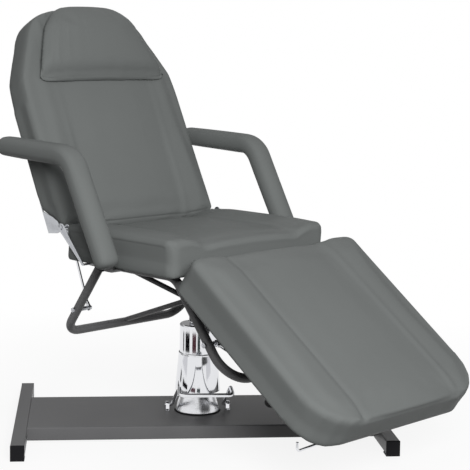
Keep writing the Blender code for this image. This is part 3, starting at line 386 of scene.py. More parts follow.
def weld_bead(bm, centre, axis, ring, thick):
    """A weld bead: a lumpy ring about an axis, laid where one tube meets another."""
    bead = bmesh.new()
    upright = Matrix.Translation((ring, 0, 0)) @ Matrix.Rotation(math.pi / 2, 4, "X")
    bmesh.ops.create_circle(bead, segments=8, radius=thick, matrix=upright)
    spin_round(bead, bead.verts[:] + bead.edges[:], 2 * math.pi, 36, True)
    for vert in bead.verts:
        vert.co *= 1 + 0.035 * math.sin(12 * math.atan2(vert.co.y, vert.co.x))
    bmesh.ops.recalc_face_normals(bead, faces=bead.faces)
    turn = Vector(axis).to_track_quat("Z", "Y").to_matrix().to_4x4()
    bmesh.ops.transform(bead, matrix=Matrix.Translation(centre) @ turn, verts=bead.verts)
    mesh = bpy.data.meshes.new("bead")
    bead.to_mesh(mesh)
    bead.free()
    bm.from_mesh(mesh)
    bpy.data.meshes.remove(mesh)


# Upholstery

def smooth(bm, verts, factor, rise=True):
    """One step of smoothing; without rise the points keep their height."""
    bmesh.ops.smooth_vert(bm, verts=verts, factor=factor, use_axis_x=True, use_axis_y=True, use_axis_z=rise)


def even_mesh(node, place, voxel, passes):
    """A CAD cushion in its own flat frame, evenly remeshed and smoothed."""
    bm = bmesh.new()
    bm.from_mesh(frame["nodes"][node].data)
    bmesh.ops.remove_doubles(bm, verts=bm.verts, dist=1e-5)
    bmesh.ops.transform(bm, matrix=place.inverted(), verts=bm.verts)
    item = new_object(node + "_start", bm)
    change = item.modifiers.new("even", "REMESH")
    change.mode = "VOXEL"
    change.voxel_size = voxel
    keep_result(item)
    bm = bmesh.new()
    bm.from_mesh(item.data)
    for _ in range(passes):
        # A step in and a slightly larger step out even the surface without shrinking it
        smooth(bm, bm.verts, 0.5)
        smooth(bm, bm.verts, -0.53)
    bm.to_mesh(item.data)
    bm.free()
    return item


def keep_result(item):
    """Applies an object's modifiers to its mesh."""
    shape = item.evaluated_get(bpy.context.evaluated_depsgraph_get())
    made = bpy.data.meshes.new_from_object(shape)
    old = item.data
    item.modifiers.clear()
    item.data = made
    bpy.data.meshes.remove(old)


def even_out(edges, moves, fixed, passes):
    """Averages each point's move with its neighbours', so that the cover swells without crumples."""
    for _ in range(passes):
        total, count = moves[:], [1] * len(moves)
        for edge in edges:
            first, last = edge.vertices
            total[first] += moves[last]
            total[last] += moves[first]
            count[first] += 1
            count[last] += 1
        moves = [value / number for value, number in zip(total, count)]
        for index in fixed:
            moves[index] = 0.0
    return moves


def swell(item, held, cap):
    scene = bpy.context.scene
    last_step, inward, passes = 20, -0.25 * cap, 8
    rest = [(vert.co.copy(), vert.normal.copy()) for vert in item.data.vertices]
    group = item.vertex_groups.new(name="held")
    fixed = [vert.index for vert in item.data.vertices if held(vert.co, vert.normal)]
    group.add(fixed, 1.0, "REPLACE")
    change = item.modifiers.new("cover", "CLOTH")
    settings = {
        "quality": 4, "mass": 0.4, "tension_stiffness": 12, "compression_stiffness": 12, "shear_stiffness": 6,
        "bending_stiffness": 1.5, "tension_damping": 10, "compression_damping": 10,
        "vertex_group_mass": "held", "use_pressure": True,
        "uniform_pressure_force": scene.table_upholstery.pressure,
    }
    for key, value in settings.items():
        setattr(change.settings, key, value)
    change.settings.effector_weights.gravity = 0
    change.collision_settings.use_collision = False
    change.point_cache.frame_start = 1
    change.point_cache.frame_end = last_step
    for step in range(1, last_step + 1):
        scene.frame_set(step)
    keep_result(item)
    scene.frame_set(1)
    moves = [min(max((vert.co - before).dot(way), inward), cap)
             for vert, (before, way) in zip(item.data.vertices, rest)]
    moves = even_out(item.data.edges, moves, fixed, passes)
    for vert, (before, way), move in zip(item.data.vertices, rest, moves):
        vert.co = before + way * move
    item.vertex_groups.clear()


def finer(item):
    """One level of subdivision, kept in the mesh."""
    change = item.modifiers.new("finer", "SUBSURF")
    change.levels = 1
    change.render_levels = 1
    keep_result(item)


def relax(item, chosen, passes, rise=True):
    """Smooths the chosen points of a cover; without rise they keep their height."""
    bm = bmesh.new()
    bm.from_mesh(item.data)
    bm.normal_update()
    verts = [vert for vert in bm.verts if chosen(vert.co, vert.normal)]
    for _ in range(passes):
        smooth(bm, verts, 0.5, rise)
    bm.to_mesh(item.data)
    bm.free()


def press(item, amount):
    """Moves each point along its normal by an amount that depends on its place."""
    moved = [vert.co + vert.normal * amount(vert.co, vert.normal) for vert in item.data.vertices]
    for vert, place in zip(item.data.vertices, moved):
        vert.co = place


def ends_of(item, axis):
    """The lowest and the highest coordinate of a mesh along one axis."""
    values = [vert.co[axis] for vert in item.data.vertices]
    return min(values), max(values)


def bump_line(distance, width):
    """A smooth ridge of height 1 on a line."""
    return math.exp(-(distance / width) ** 2)


def eased(value):
    """A smooth step from 0 to 1."""
    value = min(max(value, 0.0), 1.0)
    return value * value * (3 - 2 * value)


def square_up(first, second):
    """How far round a rounded edge between two faces a point lies: 0 on the faces, 0.41 midway."""
    return max(first + second - 1.0, 0.0) if min(first, second) > 0 else 0.0


def below_top(place, normal):
    """Sides and underside of a cushion, which its board holds."""
    return normal.z < 0.25


def on_crease(place, normal):
    """The strips on a cushion's top along its two sewn channels."""
    return normal.z > 0.5 and abs(abs(place.y) - CREASE_Y) < CREASE_REACH


def channel_fill(place, normal, height):
    """How far the foam lifts the cover in the two sewn channels."""
    if normal.z < 0.3:
        return 0.0
    return height * bump_line(abs(place.y) - CREASE_Y, CHANNEL_WIDTH)


def lay_cushion(item, node, body, place):
    """Puts a finished cushion in its place as the piece that shows."""
    item.data.transform(place)
    item.name = node + "_cover"
    item.data.name = node + "_cover"
    item.data.shade_smooth()
    item.data.materials.clear()
    item.data.materials.append(finish("synthetic_leather"))
    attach(item, body)
    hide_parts(node)


COLOUR = {"subtype": "COLOR", "min": 0, "max": 1}


class TableFinishes(bpy.types.PropertyGroup):
    """Colours and grain of the table's finishes, and how fine its turned pieces are."""
    leather_colour: FloatVectorProperty(
        name="Leather", description="Colour of the synthetic leather covers",
        default=linear("6c6f6e"), **COLOUR)
    leather_grain: FloatProperty(
        name="Leather grain", description="Width of one pebble of the grain",
        default=0.0014, unit="LENGTH", min=0.0005, max=0.005)
    paint_colour: FloatVectorProperty(
        name="Frame paint", description="Colour of frame and base",
        default=linear("5f5f60"), **COLOUR)
    chrome_colour: FloatVectorProperty(
        name="Chrome", description="Tint of the chrome plating",
        default=linear("e6e7ea"), **COLOUR)
    zinc_colour: FloatVectorProperty(
        name="Zinc", description="Tint of the galvanised fittings",
        default=linear("c2c4c8"), **COLOUR)
    plastic_colour: FloatVectorProperty(
        name="End caps", description="Colour of the plastic end caps",
        default=linear("161618"), **COLOUR)
    round_steps: IntProperty(
        name="Round steps", description="Steps in a turn of the pump's pieces",
        default=96, min=24, max=256)


class TableUpholstery(bpy.types.PropertyGroup):
    """How the covers are meshed and filled."""
    voxel: FloatProperty(
        name="Mesh size", description="Mesh size of the covers before they swell",
        default=0.0065, unit="LENGTH", min=0.003, max=0.02)
    pressure: FloatProperty(
        name="Foam pressure", description="Pressure of the foam on the covers",
        default=4.0, min=0.0, max=20.0)
    channel_fill: FloatProperty(
        name="Channel fill", description="How far the foam fills the sewn channels",
        default=0.0035, unit="LENGTH", min=0.0, max=0.01)


class TableStage(bpy.types.PropertyGroup):
    """Light and camera of the studio picture."""
    key_power: FloatProperty(
        name="Key light", description="Power of the large soft light above the camera",
        default=203.0, unit="POWER", min=0.0)
    sky: FloatProperty(
        name="Surround light", description="Strength of the even light from all round",
        default=0.30, min=0.0)
    lens: FloatProperty(
        name="Lens", description="Focal length of the camera", default=0.10461, unit="CAMERA",
        min=0.02)


class TABLE_OT_stage(bpy.types.Operator):
    """Builds the pale floor, the soft lights and the camera"""
    bl_idname = "massage_table.stage"
    bl_label = "Stage"

    def execute(self, context):
        stage = context.scene.table_stage
        context.scene.view_settings.view_transform = "Standard"
        context.scene.cycles.caustics_reflective = False
        self.make_floor()
        self.make_surround(context.scene, stage)
        self.make_light("key_light", KEY_PLACE, size=1.8, power=stage.key_power)
        self.make_light("rear_light", REAR_PLACE, size=2.4, power=stage.key_power * 0.4)
        self.make_cards()
        self.make_camera(context.scene, stage)
        return {"FINISHED"}

    @staticmethod
    def seen_rays(tree):
        """1 for rays from the camera, from mirrors and through glass, which all show the white background."""
        ray = add_node(tree, "ShaderNodeLightPath")
        seen = add_node(tree, "ShaderNodeMath", {"operation": "ADD", "use_clamp": True},
                        {0: ray.outputs["Is Camera Ray"], 1: ray.outputs["Is Glossy Ray"]})
        return add_node(tree, "ShaderNodeMath", {"operation": "ADD", "use_clamp": True},
                        {0: seen.outputs[0], 1: ray.outputs["Is Transmission Ray"]})

    def make_floor(self):
        bm = bmesh.new()
        bmesh.ops.create_grid(bm, x_segments=1, y_segments=1, size=30.0)
        floor = new_object("floor", bm)
        material = bpy.data.materials.new("studio_floor")
        tree = empty_tree(material)
        white = add_node(tree, "ShaderNodeEmission", {"Color": (1, 1, 1, 1), "Strength": 1.0})
        seen = self.seen_rays(tree)
        # Pale where it is seen, so that the shadow shows, and dull in the light that it throws back
        dull, bright = (0.08, 0.08, 0.08, 1), (0.9, 0.9, 0.9, 1)
        pale = add_node(tree, "ShaderNodeMix", {"data_type": "RGBA", "A": dull, "B": bright},
                        {"Factor": seen.outputs[0]})
        matte = add_node(tree, "ShaderNodeBsdfDiffuse", None, {"Color": pale.outputs["Result"]})
        # Further out the floor turns to plain white
        place = add_node(tree, "ShaderNodeTexCoord").outputs["Object"]
        far = add_node(tree, "ShaderNodeVectorMath", {"operation": "LENGTH"}, {0: place})
        fade = add_node(tree, "ShaderNodeMapRange",
                        {"From Min": 0.7, "From Max": 1.9, "To Min": 0.88, "To Max": 1.0},
                        {"Value": far.outputs["Value"]})
        share = add_node(tree, "ShaderNodeMath", {"operation": "MULTIPLY"},
                         {0: seen.outputs[0], 1: fade.outputs[0]})
        blend = add_node(tree, "ShaderNodeMixShader", None,
                         {0: share.outputs[0], 1: matte.outputs[0], 2: white.outputs[0]})
        add_node(tree, "ShaderNodeOutputMaterial", None, {"Surface": blend.outputs[0]})
        floor.data.materials.append(material)

    def make_cards(self):
        """Strips on the floor and a wall that only mirrors see, for the bars on the chrome and dull tops."""
        # Near strips show in the sleeve, far ones in the housing; angles run from ahead to the right.
        near, far = (1.02, 1.35), (1.7, 4.0)
        dark, grey = (0.005, 0.005, 0.006), (0.72, 0.72, 0.74)
        wine, slate = (0.075, 0.028, 0.036), (0.05, 0.065, 0.065)
        strips = [(-109, -100, near, dark), (-88, -58, near, dark), (-40, -16, near, wine),
                  (-8, 8, near, slate), (-104, -66, far, grey), (42, 70, far, grey)]
        for start, end, reach, tone in strips:
            turn = Matrix.Rotation(math.radians(start - 90), 4, "Z")
            ends = [(radius, 0, 0.001) for radius in reach]
            self.make_card("floor_strip", ends, end - start, 12, PUMP @ turn, tone)
        # A grey wall at the rear keeps the tops of seat and base from shining white
        ends = [(4.8, 0, height) for height in (0.0, 3.2)]
        turn = Matrix.Rotation(math.radians(15), 4, "Z")
        self.make_card("rear_wall", ends, 150, 24, turn, (0.30, 0.30, 0.30))

    @staticmethod
    def make_card(name, ends, angle, steps, place, tone):
        """An evenly bright card, bent round the upright axis, that only mirrors see."""
        bm = bmesh.new()
        verts = [bm.verts.new(end) for end in ends]
        side = bm.edges.new(verts)
        spin_round(bm, [*verts, side], math.radians(angle), steps)
        bmesh.ops.transform(bm, matrix=place, verts=bm.verts)
        card = new_object(name, bm)
        material = bpy.data.materials.new(name)
        tree = empty_tree(material)
        glow = add_node(tree, "ShaderNodeEmission", {"Color": (*tone, 1)})
        add_node(tree, "ShaderNodeOutputMaterial", None, {"Surface": glow.outputs[0]})
        card.data.materials.append(material)
        card.visible_camera = card.visible_diffuse = card.visible_shadow = card.visible_transmission = False

    def make_surround(self, scene, stage):
        scene.world = bpy.data.worlds.new("studio")
        tree = empty_tree(scene.world)
        even = add_node(tree, "ShaderNodeBackground", {"Color": (1, 1, 1, 1), "Strength": stage.sky})
        white = add_node(tree, "ShaderNodeBackground", {"Color": (1, 1, 1, 1), "Strength": 1.0})
        seen = self.seen_rays(tree)
        blend = add_node(tree, "ShaderNodeMixShader", None,
                         {0: seen.outputs[0], 1: even.outputs[0], 2: white.outputs[0]})
        add_node(tree, "ShaderNodeOutputWorld", None, {"Surface": blend.outputs[0]})

    @staticmethod
    def make_light(name, place, size, power):
        lamp = bpy.data.lights.new(name, "AREA")
        lamp.shape = "DISK"
        lamp.size = size
        lamp.energy = power
        item = bpy.data.objects.new(name, lamp)
        item.location = place
        item.rotation_euler = (LAMP_TARGET - place).to_track_quat("-Z", "Y").to_euler()
        item.visible_glossy = False
        bpy.context.scene.collection.objects.link(item)

    @staticmethod
    def make_camera(scene, stage):
        lens = bpy.data.cameras.new("camera")
        lens.lens = stage.lens * 1000
        lens.sensor_width = 36.0
        lens.shift_x = 0.0851
        lens.shift_y = -0.1277
        yaw, pitch, roll = 0.07925, -0.09704, 0.01032
        ahead = Vector((math.sin(yaw) * math.cos(pitch), math.cos(yaw) * math.cos(pitch), math.sin(pitch)))
        right = Vector((math.cos(yaw), -math.sin(yaw), 0.0))
        up = right.cross(ahead)
        side = right * math.cos(roll) + up * math.sin(roll)
        top = up * math.cos(roll) - right * math.sin(roll)
        camera = bpy.data.objects.new("camera", lens)
        turn = Matrix((side, top, -ahead)).transposed().to_4x4()
        camera.matrix_world = PUMP @ Matrix.Translation(CAMERA_PLACE) @ turn
        scene.collection.objects.link(camera)
        scene.camera = camera


class TABLE_OT_base(bpy.types.Operator):
    """Builds the folded base plate, the square foot tubes and their end caps"""
    bl_idname = "massage_table.base"
    bl_label = "Base"

    def execute(self, context):
        self.make_plate()
        for side, x in zip(SIDES, (-FOOT_SPACING, FOOT_SPACING)):
            self.make_tube("foot_tube_" + side, x)
            for row in ("front", "rear"):
                show_softened("end_cap_" + row + "_" + side, "_moulded", "moulded_plastic", "base", 0.0015, 3)
        return {"FINISHED"}

    @staticmethod
    def make_plate():
        half, low = PLATE_HALF_WIDTH, GLIDE_HEIGHT
        reach = FOOT_SPACING - TUBE_SIZE / 2 - GAP
        fold = [(half - PLATE_LIP, low), (half, low), (half, BASE_TOP), (-half, BASE_TOP), (-half, low),
                (-half + PLATE_LIP, low)]
        bm = bmesh.new()
        ring = [bm.verts.new((-reach, y, z)) for y, z in fold]
        edges = [bm.edges.new(ends) for ends in zip(ring, ring[1:])]
        made = bmesh.ops.extrude_edge_only(bm, edges=edges)["geom"]
        moved = [item for item in made if isinstance(item, bmesh.types.BMVert)]
        bmesh.ops.translate(bm, vec=(2 * reach, 0, 0), verts=moved)
        bmesh.ops.recalc_face_normals(bm, faces=bm.faces)
        top = max(bm.faces, key=lambda face: face.calc_area())
        if top.normal.z < 0:
            bmesh.ops.reverse_faces(bm, faces=bm.faces)
        folds = [e for e in bm.edges if len(e.link_faces) == 2]
        round_edges(bm, folds, width=0.0045)
        bmesh.ops.solidify(bm, geom=bm.faces, thickness=SHEET)
        show_piece("base_plate_folded", bm, "powder_coat", "base", ["base_plate"], PUMP)

    @staticmethod
    def make_tube(node, x):
        bm = bmesh.new()
        bmesh.ops.create_cube(bm, size=1.0)
        bmesh.ops.scale(bm, vec=(TUBE_SIZE, 2 * FOOT_HALF_LENGTH, TUBE_SIZE), verts=bm.verts)
        bmesh.ops.translate(bm, vec=(x, 0, GLIDE_HEIGHT + TUBE_SIZE / 2), verts=bm.verts)
        ends = [face for face in bm.faces if abs(face.normal.y) > 0.9]
        bmesh.ops.delete(bm, geom=ends, context="FACES_ONLY")
        long = [e for e in bm.edges if abs(e.verts[0].co.y - e.verts[1].co.y) > 0.1]
        round_edges(bm, long, width=0.0035)
        bmesh.ops.recalc_face_normals(bm, faces=bm.faces)
        bmesh.ops.solidify(bm, geom=bm.faces, thickness=TUBE_WALL)
        show_piece(node + "_steel", bm, "powder_coat", "base", [node], PUMP)


class TABLE_OT_pump(bpy.types.Operator):
    """Builds the chrome pump with its gasket, and the ram that rises from it"""
    bl_idname = "massage_table.pump"
    bl_label = "Pump"

    def execute(self, context):
        low = BASE_TOP + GAP
        top = low + GASKET_THICKNESS
        foot = top + GAP
        gasket = [(0.024, low), (0.0668, low), (0.0675, low + 0.0006), (0.0675, low + 0.0014), (0.0668, top),
                  (0.024, top), (0.024, low)]
        skirt = [(0.0, foot), (0.0628, foot), (0.0642, foot + 0.0004), (0.0650, foot + 0.0016),
                 (0.0648, foot + 0.0034), (0.0600, foot + 0.0172), (0.0552, foot + 0.031),
                 (0.0508, foot + 0.0435), (0.0470, 0.0995), (0.0452, 0.1035), (0.0430, 0.1045),
                 (0.0430, 0.205), (0.0193, 0.205), (0.0193, 0.071), (0.0, 0.071)]
        housing = [(0.0433, 0.107), (0.0630, 0.106), (0.0650, 0.1064), (0.0659, 0.1076), (0.0658, 0.1096),
                   (0.0633, 0.1380), (0.0605, 0.1700), (0.0580, 0.1980), (0.0566, 0.2140), (0.0565, 0.2158),
                   (0.0569, 0.2172), (0.0567, 0.2190), (0.0558, 0.2199), (0.0541, 0.2192), (0.0541, 0.208),
                   (0.0594, 0.112), (0.0433, 0.111), (0.0433, 0.107)]
        sleeve = [(0.0513, 0.1113), (0.0538, 0.1113), (0.0538, 0.2970), (0.0538, 0.2985), (0.0535, 0.3003),
                  (0.0527, 0.3018), (0.0512, 0.3028), (0.0495, 0.303), (0.0193, 0.303), (0.0193, 0.297),
                  (0.0513, 0.297), (0.0513, 0.1113)]
        ram = [(0.0, 0.075), (0.0190, 0.075), (0.0190, 0.304), (0.0257, 0.304), (0.0265, 0.3048),
               (0.0265, 0.3094), (0.0257, 0.3102), (0.0190, 0.3102), (0.0190, 0.392), (0.0, 0.392)]
        steps = context.scene.table_finishes.round_steps
        ring = turned_shape(gasket, steps)
        show_piece("pump_gasket_ring", ring, "black_rubber", "base", ["pump_gasket"], PUMP)
        turned = [
            ("pump_skirt", skirt, "satin_chrome", "base", "pump_foot"),
            ("pump_housing_bell", housing, "chrome_plate", "base", "pump_housing"),
            ("pump_sleeve_tube", sleeve, "chrome_plate", "base", "pump_sleeve"),
            ("piston_ram_polished", ram, "chrome_plate", "ram", "piston_ram"),
        ]
        for name, profile, material, body, node in turned:
            show_piece(name, turned_shape(profile, steps), material, body, [node], PUMP, TURNED_SHARP)
        return {"FINISHED"}


class TABLE_OT_pedal(bpy.types.Operator):
    """Builds the bent foot pedal and its two brackets"""
    bl_idname = "massage_table.pedal"
    bl_label = "Pedal"

    def execute(self, context):
        half = [(-0.096, 0, PEDAL_AXIS_Z), (-0.075, 0, PEDAL_AXIS_Z), (-0.071, -0.245, 0.174),
                (-0.072, -0.300, 0.166)]
        corners = half + [(-x, y, z) for x, y, z in reversed(half)]
        path = bend_path(corners, [0.007, 0.030, 0.014, 0.014, 0.030, 0.007], 12)
        rod = bent_tube(path, radius=0.0055)
        show_piece("pedal_rod", rod, "chrome_plate", "pedal", ["pedal_lever"], PUMP, TUBE_SHARP)
        for side in SIDES:
            show_softened("pedal_bracket_" + side, "_cast", "chrome_plate", "base", 0.0012, 3)
        return {"FINISHED"}


class TABLE_OT_frame(bpy.types.Operator):
    """Builds the welded chair frame: hub, bent seat frame, rear U, braces and strut"""
    bl_idname = "massage_table.frame"
    bl_label = "Chair frame"

    def execute(self, context):
        bend_x, drop, slope = 0.1283, 0.3275, math.radians(51)
        foot_x = bend_x + drop * math.cos(slope)
        foot_z = RAIL_Z - drop * math.sin(slope)
        half = [(-0.232, -RAIL_Y, RAIL_Z), (bend_x, -RAIL_Y, RAIL_Z), (foot_x, -RAIL_Y, foot_z)]
        tube = self.bent_u(half, [0.06, 0.085, 0.085, 0.06])
        show_piece("seat_frame_tube", tube, "powder_coat", "chair", ["seat_frame"], CHAIR, TUBE_SHARP)

        tube = self.bent_u([(-0.1681, -REAR_U_Y, RAIL_Z), (-0.332, -REAR_U_Y, 0.2545)], [0.05, 0.05])
        for side in (-1, 1):
            place = (-0.178, side * 0.2255, RAIL_Z - 0.0115)
            weld_bead(tube, place, (-0.59, 0, -0.81), RAIL_RADIUS + 0.0012, 0.0022)
        show_piece("rear_u_bent", tube, "powder_coat", "chair", ["rear_u_tube"], CHAIR, TUBE_SHARP)

        hub = [(0.0193, 0.3105), (0.0235, 0.3105), (0.0257, 0.3113), (0.0265, 0.3135), (0.0265, 0.399),
               (0.0257, 0.4012), (0.0235, 0.402), (0.0, 0.402), (0.0, 0.394), (0.0193, 0.394),
               (0.0193, 0.3105)]
        socket = turned_shape(hub, steps=64)
        show_piece("swivel_hub_turned", socket, "powder_coat", "chair", ["swivel_hub"], CHAIR, TURNED_SHARP)

        # Each rod is welded to the hub at its end, and the braces to the rails at their start too
        rods = [
            ("rail_brace_left", (-0.0642, 0.206, 0.4746), (-0.0172, 0.0242, 0.3747), True),
            ("rail_brace_right", (-0.0642, -0.206, 0.4746), (-0.0172, -0.0242, 0.3747), True),
            ("rear_strut", (-0.3205, 0, 0.2637), (-0.0270, 0, 0.3706), False),
        ]
        for node, start, end, at_rail in rods:
            start, end = Vector(start), Vector(end)
            rod = bent_tube([start, end], BRACE_RADIUS)
            way = (end - start).normalized()
            welds = [end, start + way * 0.006] if at_rail else [end]
            for place in welds:
                weld_bead(rod, place, way, BRACE_RADIUS + 0.001, 0.0018)
            show_piece(node + "_rod", rod, "powder_coat", "chair", [node], CHAIR, TUBE_SHARP)
        return {"FINISHED"}

    @staticmethod
    def bent_u(half, radii):
        """A frame tube through the corners of its right half and their mirror images."""
        corners = half + [(x, -y, z) for x, y, z in reversed(half)]
        return bent_tube(bend_path(corners, radii, steps=14), RAIL_RADIUS, sides=8)


class TABLE_OT_seat(bpy.types.Operator):
    """Makes the seat cushion: a sunk middle between two bolsters, tucked under at the board"""
    bl_idname = "massage_table.seat"
    bl_label = "Seat cushion"

    def execute(self, context):
        looks = context.scene.table_upholstery
        item = even_mesh("seat_cushion", CHAIR, looks.voxel, 5)
        swell(item, below_top, 0.008)
        relax(item, on_crease, 8)
        finer(item)
        front = ends_of(item, 0)[1]
        side = ends_of(item, 1)[1]

        def seams(place, normal):
            fill = channel_fill(place, normal, looks.channel_fill) * eased((front - place.x) / 0.05)
            # The edges at the front and the sides are tighter than the swollen cover's
            ahead = square_up(normal.z, normal.x) * eased((place.x - front + 0.08) / 0.03)
            outward = square_up(normal.z, math.copysign(normal.y, normal.y * place.y))
            return fill + 0.009 * max(ahead, outward * eased((abs(place.y) - side + 0.08) / 0.03))

        press(item, seams)
        lay_cushion(item, "seat_cushion", "chair", CHAIR)
        dress_node("seat_board", "stained_plywood")
        return {"FINISHED"}


class TABLE_OT_backrest(bpy.types.Operator):
    """Makes the backrest cushion with two long channels down its front"""
    bl_idname = "massage_table.backrest"
    bl_label = "Backrest cushion"

    def execute(self, context):
        looks = context.scene.table_upholstery
        item = even_mesh("back_cushion", BACK, looks.voxel, 5)
        swell(item, below_top, 0.008)
        head = ends_of(item, 0)[0]
        relax(item, on_crease, 12)
        # The rounded edges, and then the outline of the head half
        relax(item, lambda place, normal: 0.05 < normal.z < 0.97, 8)
        relax(item, lambda place, normal: place.x < head + 0.32 and normal.z < 0.7, 30, False)
        finer(item)
        foot = ends_of(item, 0)[1]
        for vert in item.data.vertices:
            # The corners of the head end are cut back
            corner = eased((abs(vert.co.y) - 0.05) / 0.10) * eased((head + 0.17 - vert.co.x) / 0.10)
            vert.co.x += 0.004 * corner
            vert.co.y -= math.copysign(0.004 * corner, vert.co.y)

        def seams(place, normal):
            fill = channel_fill(place, normal, looks.channel_fill)
            # The foot end is filled out towards the seat, and its upper edge is rounded off
            at_foot = eased((place.x - foot + 0.07) / 0.05)
            fill += 0.004 * at_foot * eased(2 * normal.x)
            return fill - 0.025 * square_up(normal.z, normal.x) * at_foot

        press(item, seams)
        lay_cushion(item, "back_cushion", "backrest", BACK)
        dress_node("back_board", "stained_plywood")
        return {"FINISHED"}


class TABLE_OT_leg_rest(bpy.types.Operator):
    """Makes the leg rest cushion with two long channels and a sewn foot end"""
    bl_idname = "massage_table.leg_rest"
    bl_label = "Leg rest cushion"

    def execute(self, context):
        looks = context.scene.table_upholstery
        item = even_mesh("leg_cushion", LEG, looks.voxel, 5)
        swell(item, below_top, 0.007)
        relax(item, lambda place, normal: place.y > 0 and on_crease(place, normal), 12)
        finer(item)
        rear, end = ends_of(item, 0)
        top = ends_of(item, 2)[1]
        for vert in item.data.vertices:
            # The two rolls rise towards the seat
            roll = eased((abs(vert.co.y) - 0.14) / 0.10) * max(1 - (vert.co.x - rear) / 0.5, 0.0)
            vert.co.z += (0.015 if vert.co.y > 0 else 0.008) * roll * eased(vert.co.z / top)

        def seams(place, normal):
            fill = (1.2 if place.y > 0 else 0.3) * looks.channel_fill
            depth = channel_fill(place, normal, fill) * eased((end - place.x) / 0.03)
            if normal.z < 0.95 and place.x > end - 0.13:
                # A welt and a groove run round the foot end, 14 mm below its top
                line = place.z - (top - 0.014)
                seam = 0.0012 * bump_line(line, 0.004) - 0.0012 * bump_line(line + 0.008, 0.004)
                depth += seam * eased((place.y + 0.24) / 0.08)
            return depth

        press(item, seams)
        lay_cushion(item, "leg_cushion", "leg_rest", LEG)
        dress_node("leg_board", "stained_plywood")
        return {"FINISHED"}


class TABLE_OT_pillow(bpy.types.Operator):
    """Makes the head pillow: a full, round pad with a seam round its edge"""
    bl_idname = "massage_table.pillow"
    bl_label = "Head pillow"

    def execute(self, context):
        item = even_mesh("head_pillow", BACK, 0.0055, 6)
        low = ends_of(item, 2)[0]
        swell(item, lambda place, normal: normal.z < -0.6, 0.012)
        finer(item)
        head, foot = ends_of(item, 0)
        for vert in item.data.vertices:
            # The right-hand side stands out at its root
            side = eased((-vert.co.y - 0.05) / 0.12) * eased((vert.co.x - head) / 0.10)
            vert.co.y -= 0.009 * side * (1 - 0.6 * eased((vert.co.z - low) / 0.035))
            vert.co.x += 0.004 * eased((vert.co.x - foot + 0.05) / 0.05)

        def folds(place, normal):
            depth = 0.0
            if normal.z < 0.75:
                # The seam round the edge
                depth -= 0.0008 * bump_line(place.z - (low + 0.016), 0.0030)
            # Small folds near the foot end
            near = eased(1 - (foot - place.x) / 0.07)
            depth += 0.0022 * near * noise.noise(Vector((place.y * 22, place.x * 7, 3.0)))
            # The right-hand side is boxed, and the foot end slopes
            boxed = eased(-place.y / 0.12) * eased((place.x - head) / 0.10) * eased((foot - place.x) / 0.06)
            depth += 0.027 * boxed * square_up(normal.z, -normal.y)
            depth -= 0.009 * bump_line(foot - 0.010 - place.x, 0.022) * eased(2 * normal.z)
            return depth

        press(item, folds)
        lay_cushion(item, "head_pillow", "backrest", BACK)
        return {"FINISHED"}


class TABLE_OT_armrests(bpy.types.Operator):
    """Makes the two bent armrest pads and their brackets"""
    bl_idname = "massage_table.armrests"
    bl_label = "Armrests"

    def execute(self, context):
        for side in SIDES:
            node = "armrest_pad_" + side
            item = even_mesh(node, CHAIR, 0.005, 5)
            swell(item, lambda place, normal: False, 0.004)
            finer(item)
            for vert in item.data.vertices:
                # The rear end stops 7 mm short of the swollen one
                vert.co.x += 0.007 * eased((-0.38 - vert.co.x) / 0.07)
            lay_cushion(item, node, "chair", CHAIR)
        for side in SIDES:
            show_softened("armrest_bracket_" + side, "_bent", "powder_coat", "chair", 0.0008)
        return {"FINISHED"}


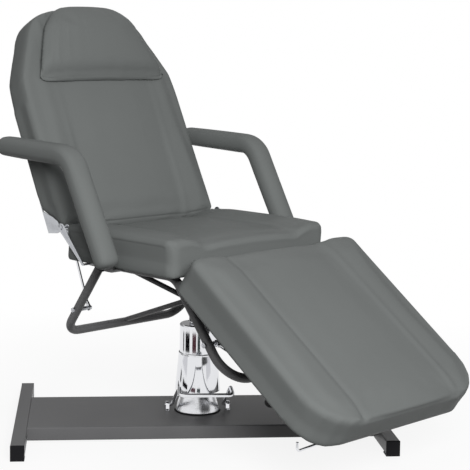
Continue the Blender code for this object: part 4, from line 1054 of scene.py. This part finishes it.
class TABLE_OT_fittings(bpy.types.Operator):
    """Makes the hinges, stays, bolts, stops and the pull hook"""
    bl_idname = "massage_table.fittings"
    bl_label = "Hinges and stays"

    def execute(self, context):
        # Name, material, body and width of the eased edges
        groups = [
            ("back_hinge_plate", "zinc_plate", "backrest", 0.0008),
            ("back_hinge_strap", "zinc_plate", "chair", 0.0006),
            ("back_stay_bracket", "zinc_plate", "backrest", 0.0006),
            ("back_stay_bolt", "zinc_plate", "chair", 0.0005),
            ("back_stay_bar", "zinc_plate", "back_bars", 0.0005),
            ("back_stay_rod", "chrome_plate", "back_rods", 0.0004),
            ("leg_stay_bracket", "zinc_plate", "leg_rest", 0.0006),
            ("leg_stay_bolt", "zinc_plate", "chair", 0.0005),
            ("leg_stay_bar", "zinc_plate", "leg_bars", 0.0005),
            ("leg_stay_rod", "chrome_plate", "leg_rods", 0.0004),
            ("leg_hinge_arm", "powder_coat", "leg_rest", 0.0008),
            ("leg_hinge_lug", "powder_coat", "chair", 0.0006),
        ]
        for name, material, body, width in groups:
            for side in SIDES:
                show_softened(name + "_" + side, "_made", material, body, width)
        for side in SIDES:
            show_softened("leg_rubber_stop_" + side, "_moulded", "black_rubber", "leg_rest", 0.0008)
        hang = LEG_UNDER_Z - GAP - HOOK_RADIUS
        corners = [(0.475, -0.20, hang), (0.575, -0.20, hang), (0.575, -0.324, hang - 0.012),
                   (0.563, -0.324, hang + 0.008)]
        hook = bent_tube(bend_path(corners, [0.012, 0.010], 10), HOOK_RADIUS)
        show_piece("leg_pull_hook_rod", hook, "chrome_plate", "leg_rest", ["leg_pull_hook"], LEG, TUBE_SHARP)
        return {"FINISHED"}


class TABLE_PT_panel(bpy.types.Panel):
    """Lists the steps that build the massage table's looks"""
    bl_idname = "TABLE_PT_panel"
    bl_label = "Massage table"
    bl_space_type = "VIEW_3D"
    bl_region_type = "UI"
    bl_category = "Massage table"

    def draw(self, context):
        for name, group in GROUPS.items():
            for key in group.__annotations__:
                self.layout.prop(getattr(context.scene, name), key)
        for step in STEPS:
            self.layout.operator(step.bl_idname)


STEPS = (TABLE_OT_stage, TABLE_OT_base, TABLE_OT_pump, TABLE_OT_pedal, TABLE_OT_frame, TABLE_OT_seat,
         TABLE_OT_backrest, TABLE_OT_leg_rest, TABLE_OT_pillow, TABLE_OT_armrests, TABLE_OT_fittings)
GROUPS = {"table_finishes": TableFinishes, "table_upholstery": TableUpholstery, "table_stage": TableStage}
CLASSES = (*GROUPS.values(), *STEPS, TABLE_PT_panel)


def register():
    for kind in CLASSES:
        bpy.utils.register_class(kind)
    for name, group in GROUPS.items():
        setattr(bpy.types.Scene, name, PointerProperty(type=group))


def unregister():
    for name in GROUPS:
        delattr(bpy.types.Scene, name)
    for kind in reversed(CLASSES):
        bpy.utils.unregister_class(kind)


def main():
    register()
    for step in STEPS:
        group, name = step.bl_idname.split(".")
        getattr(getattr(bpy.ops, group), name)()


if __name__ == "__main__":
    main()
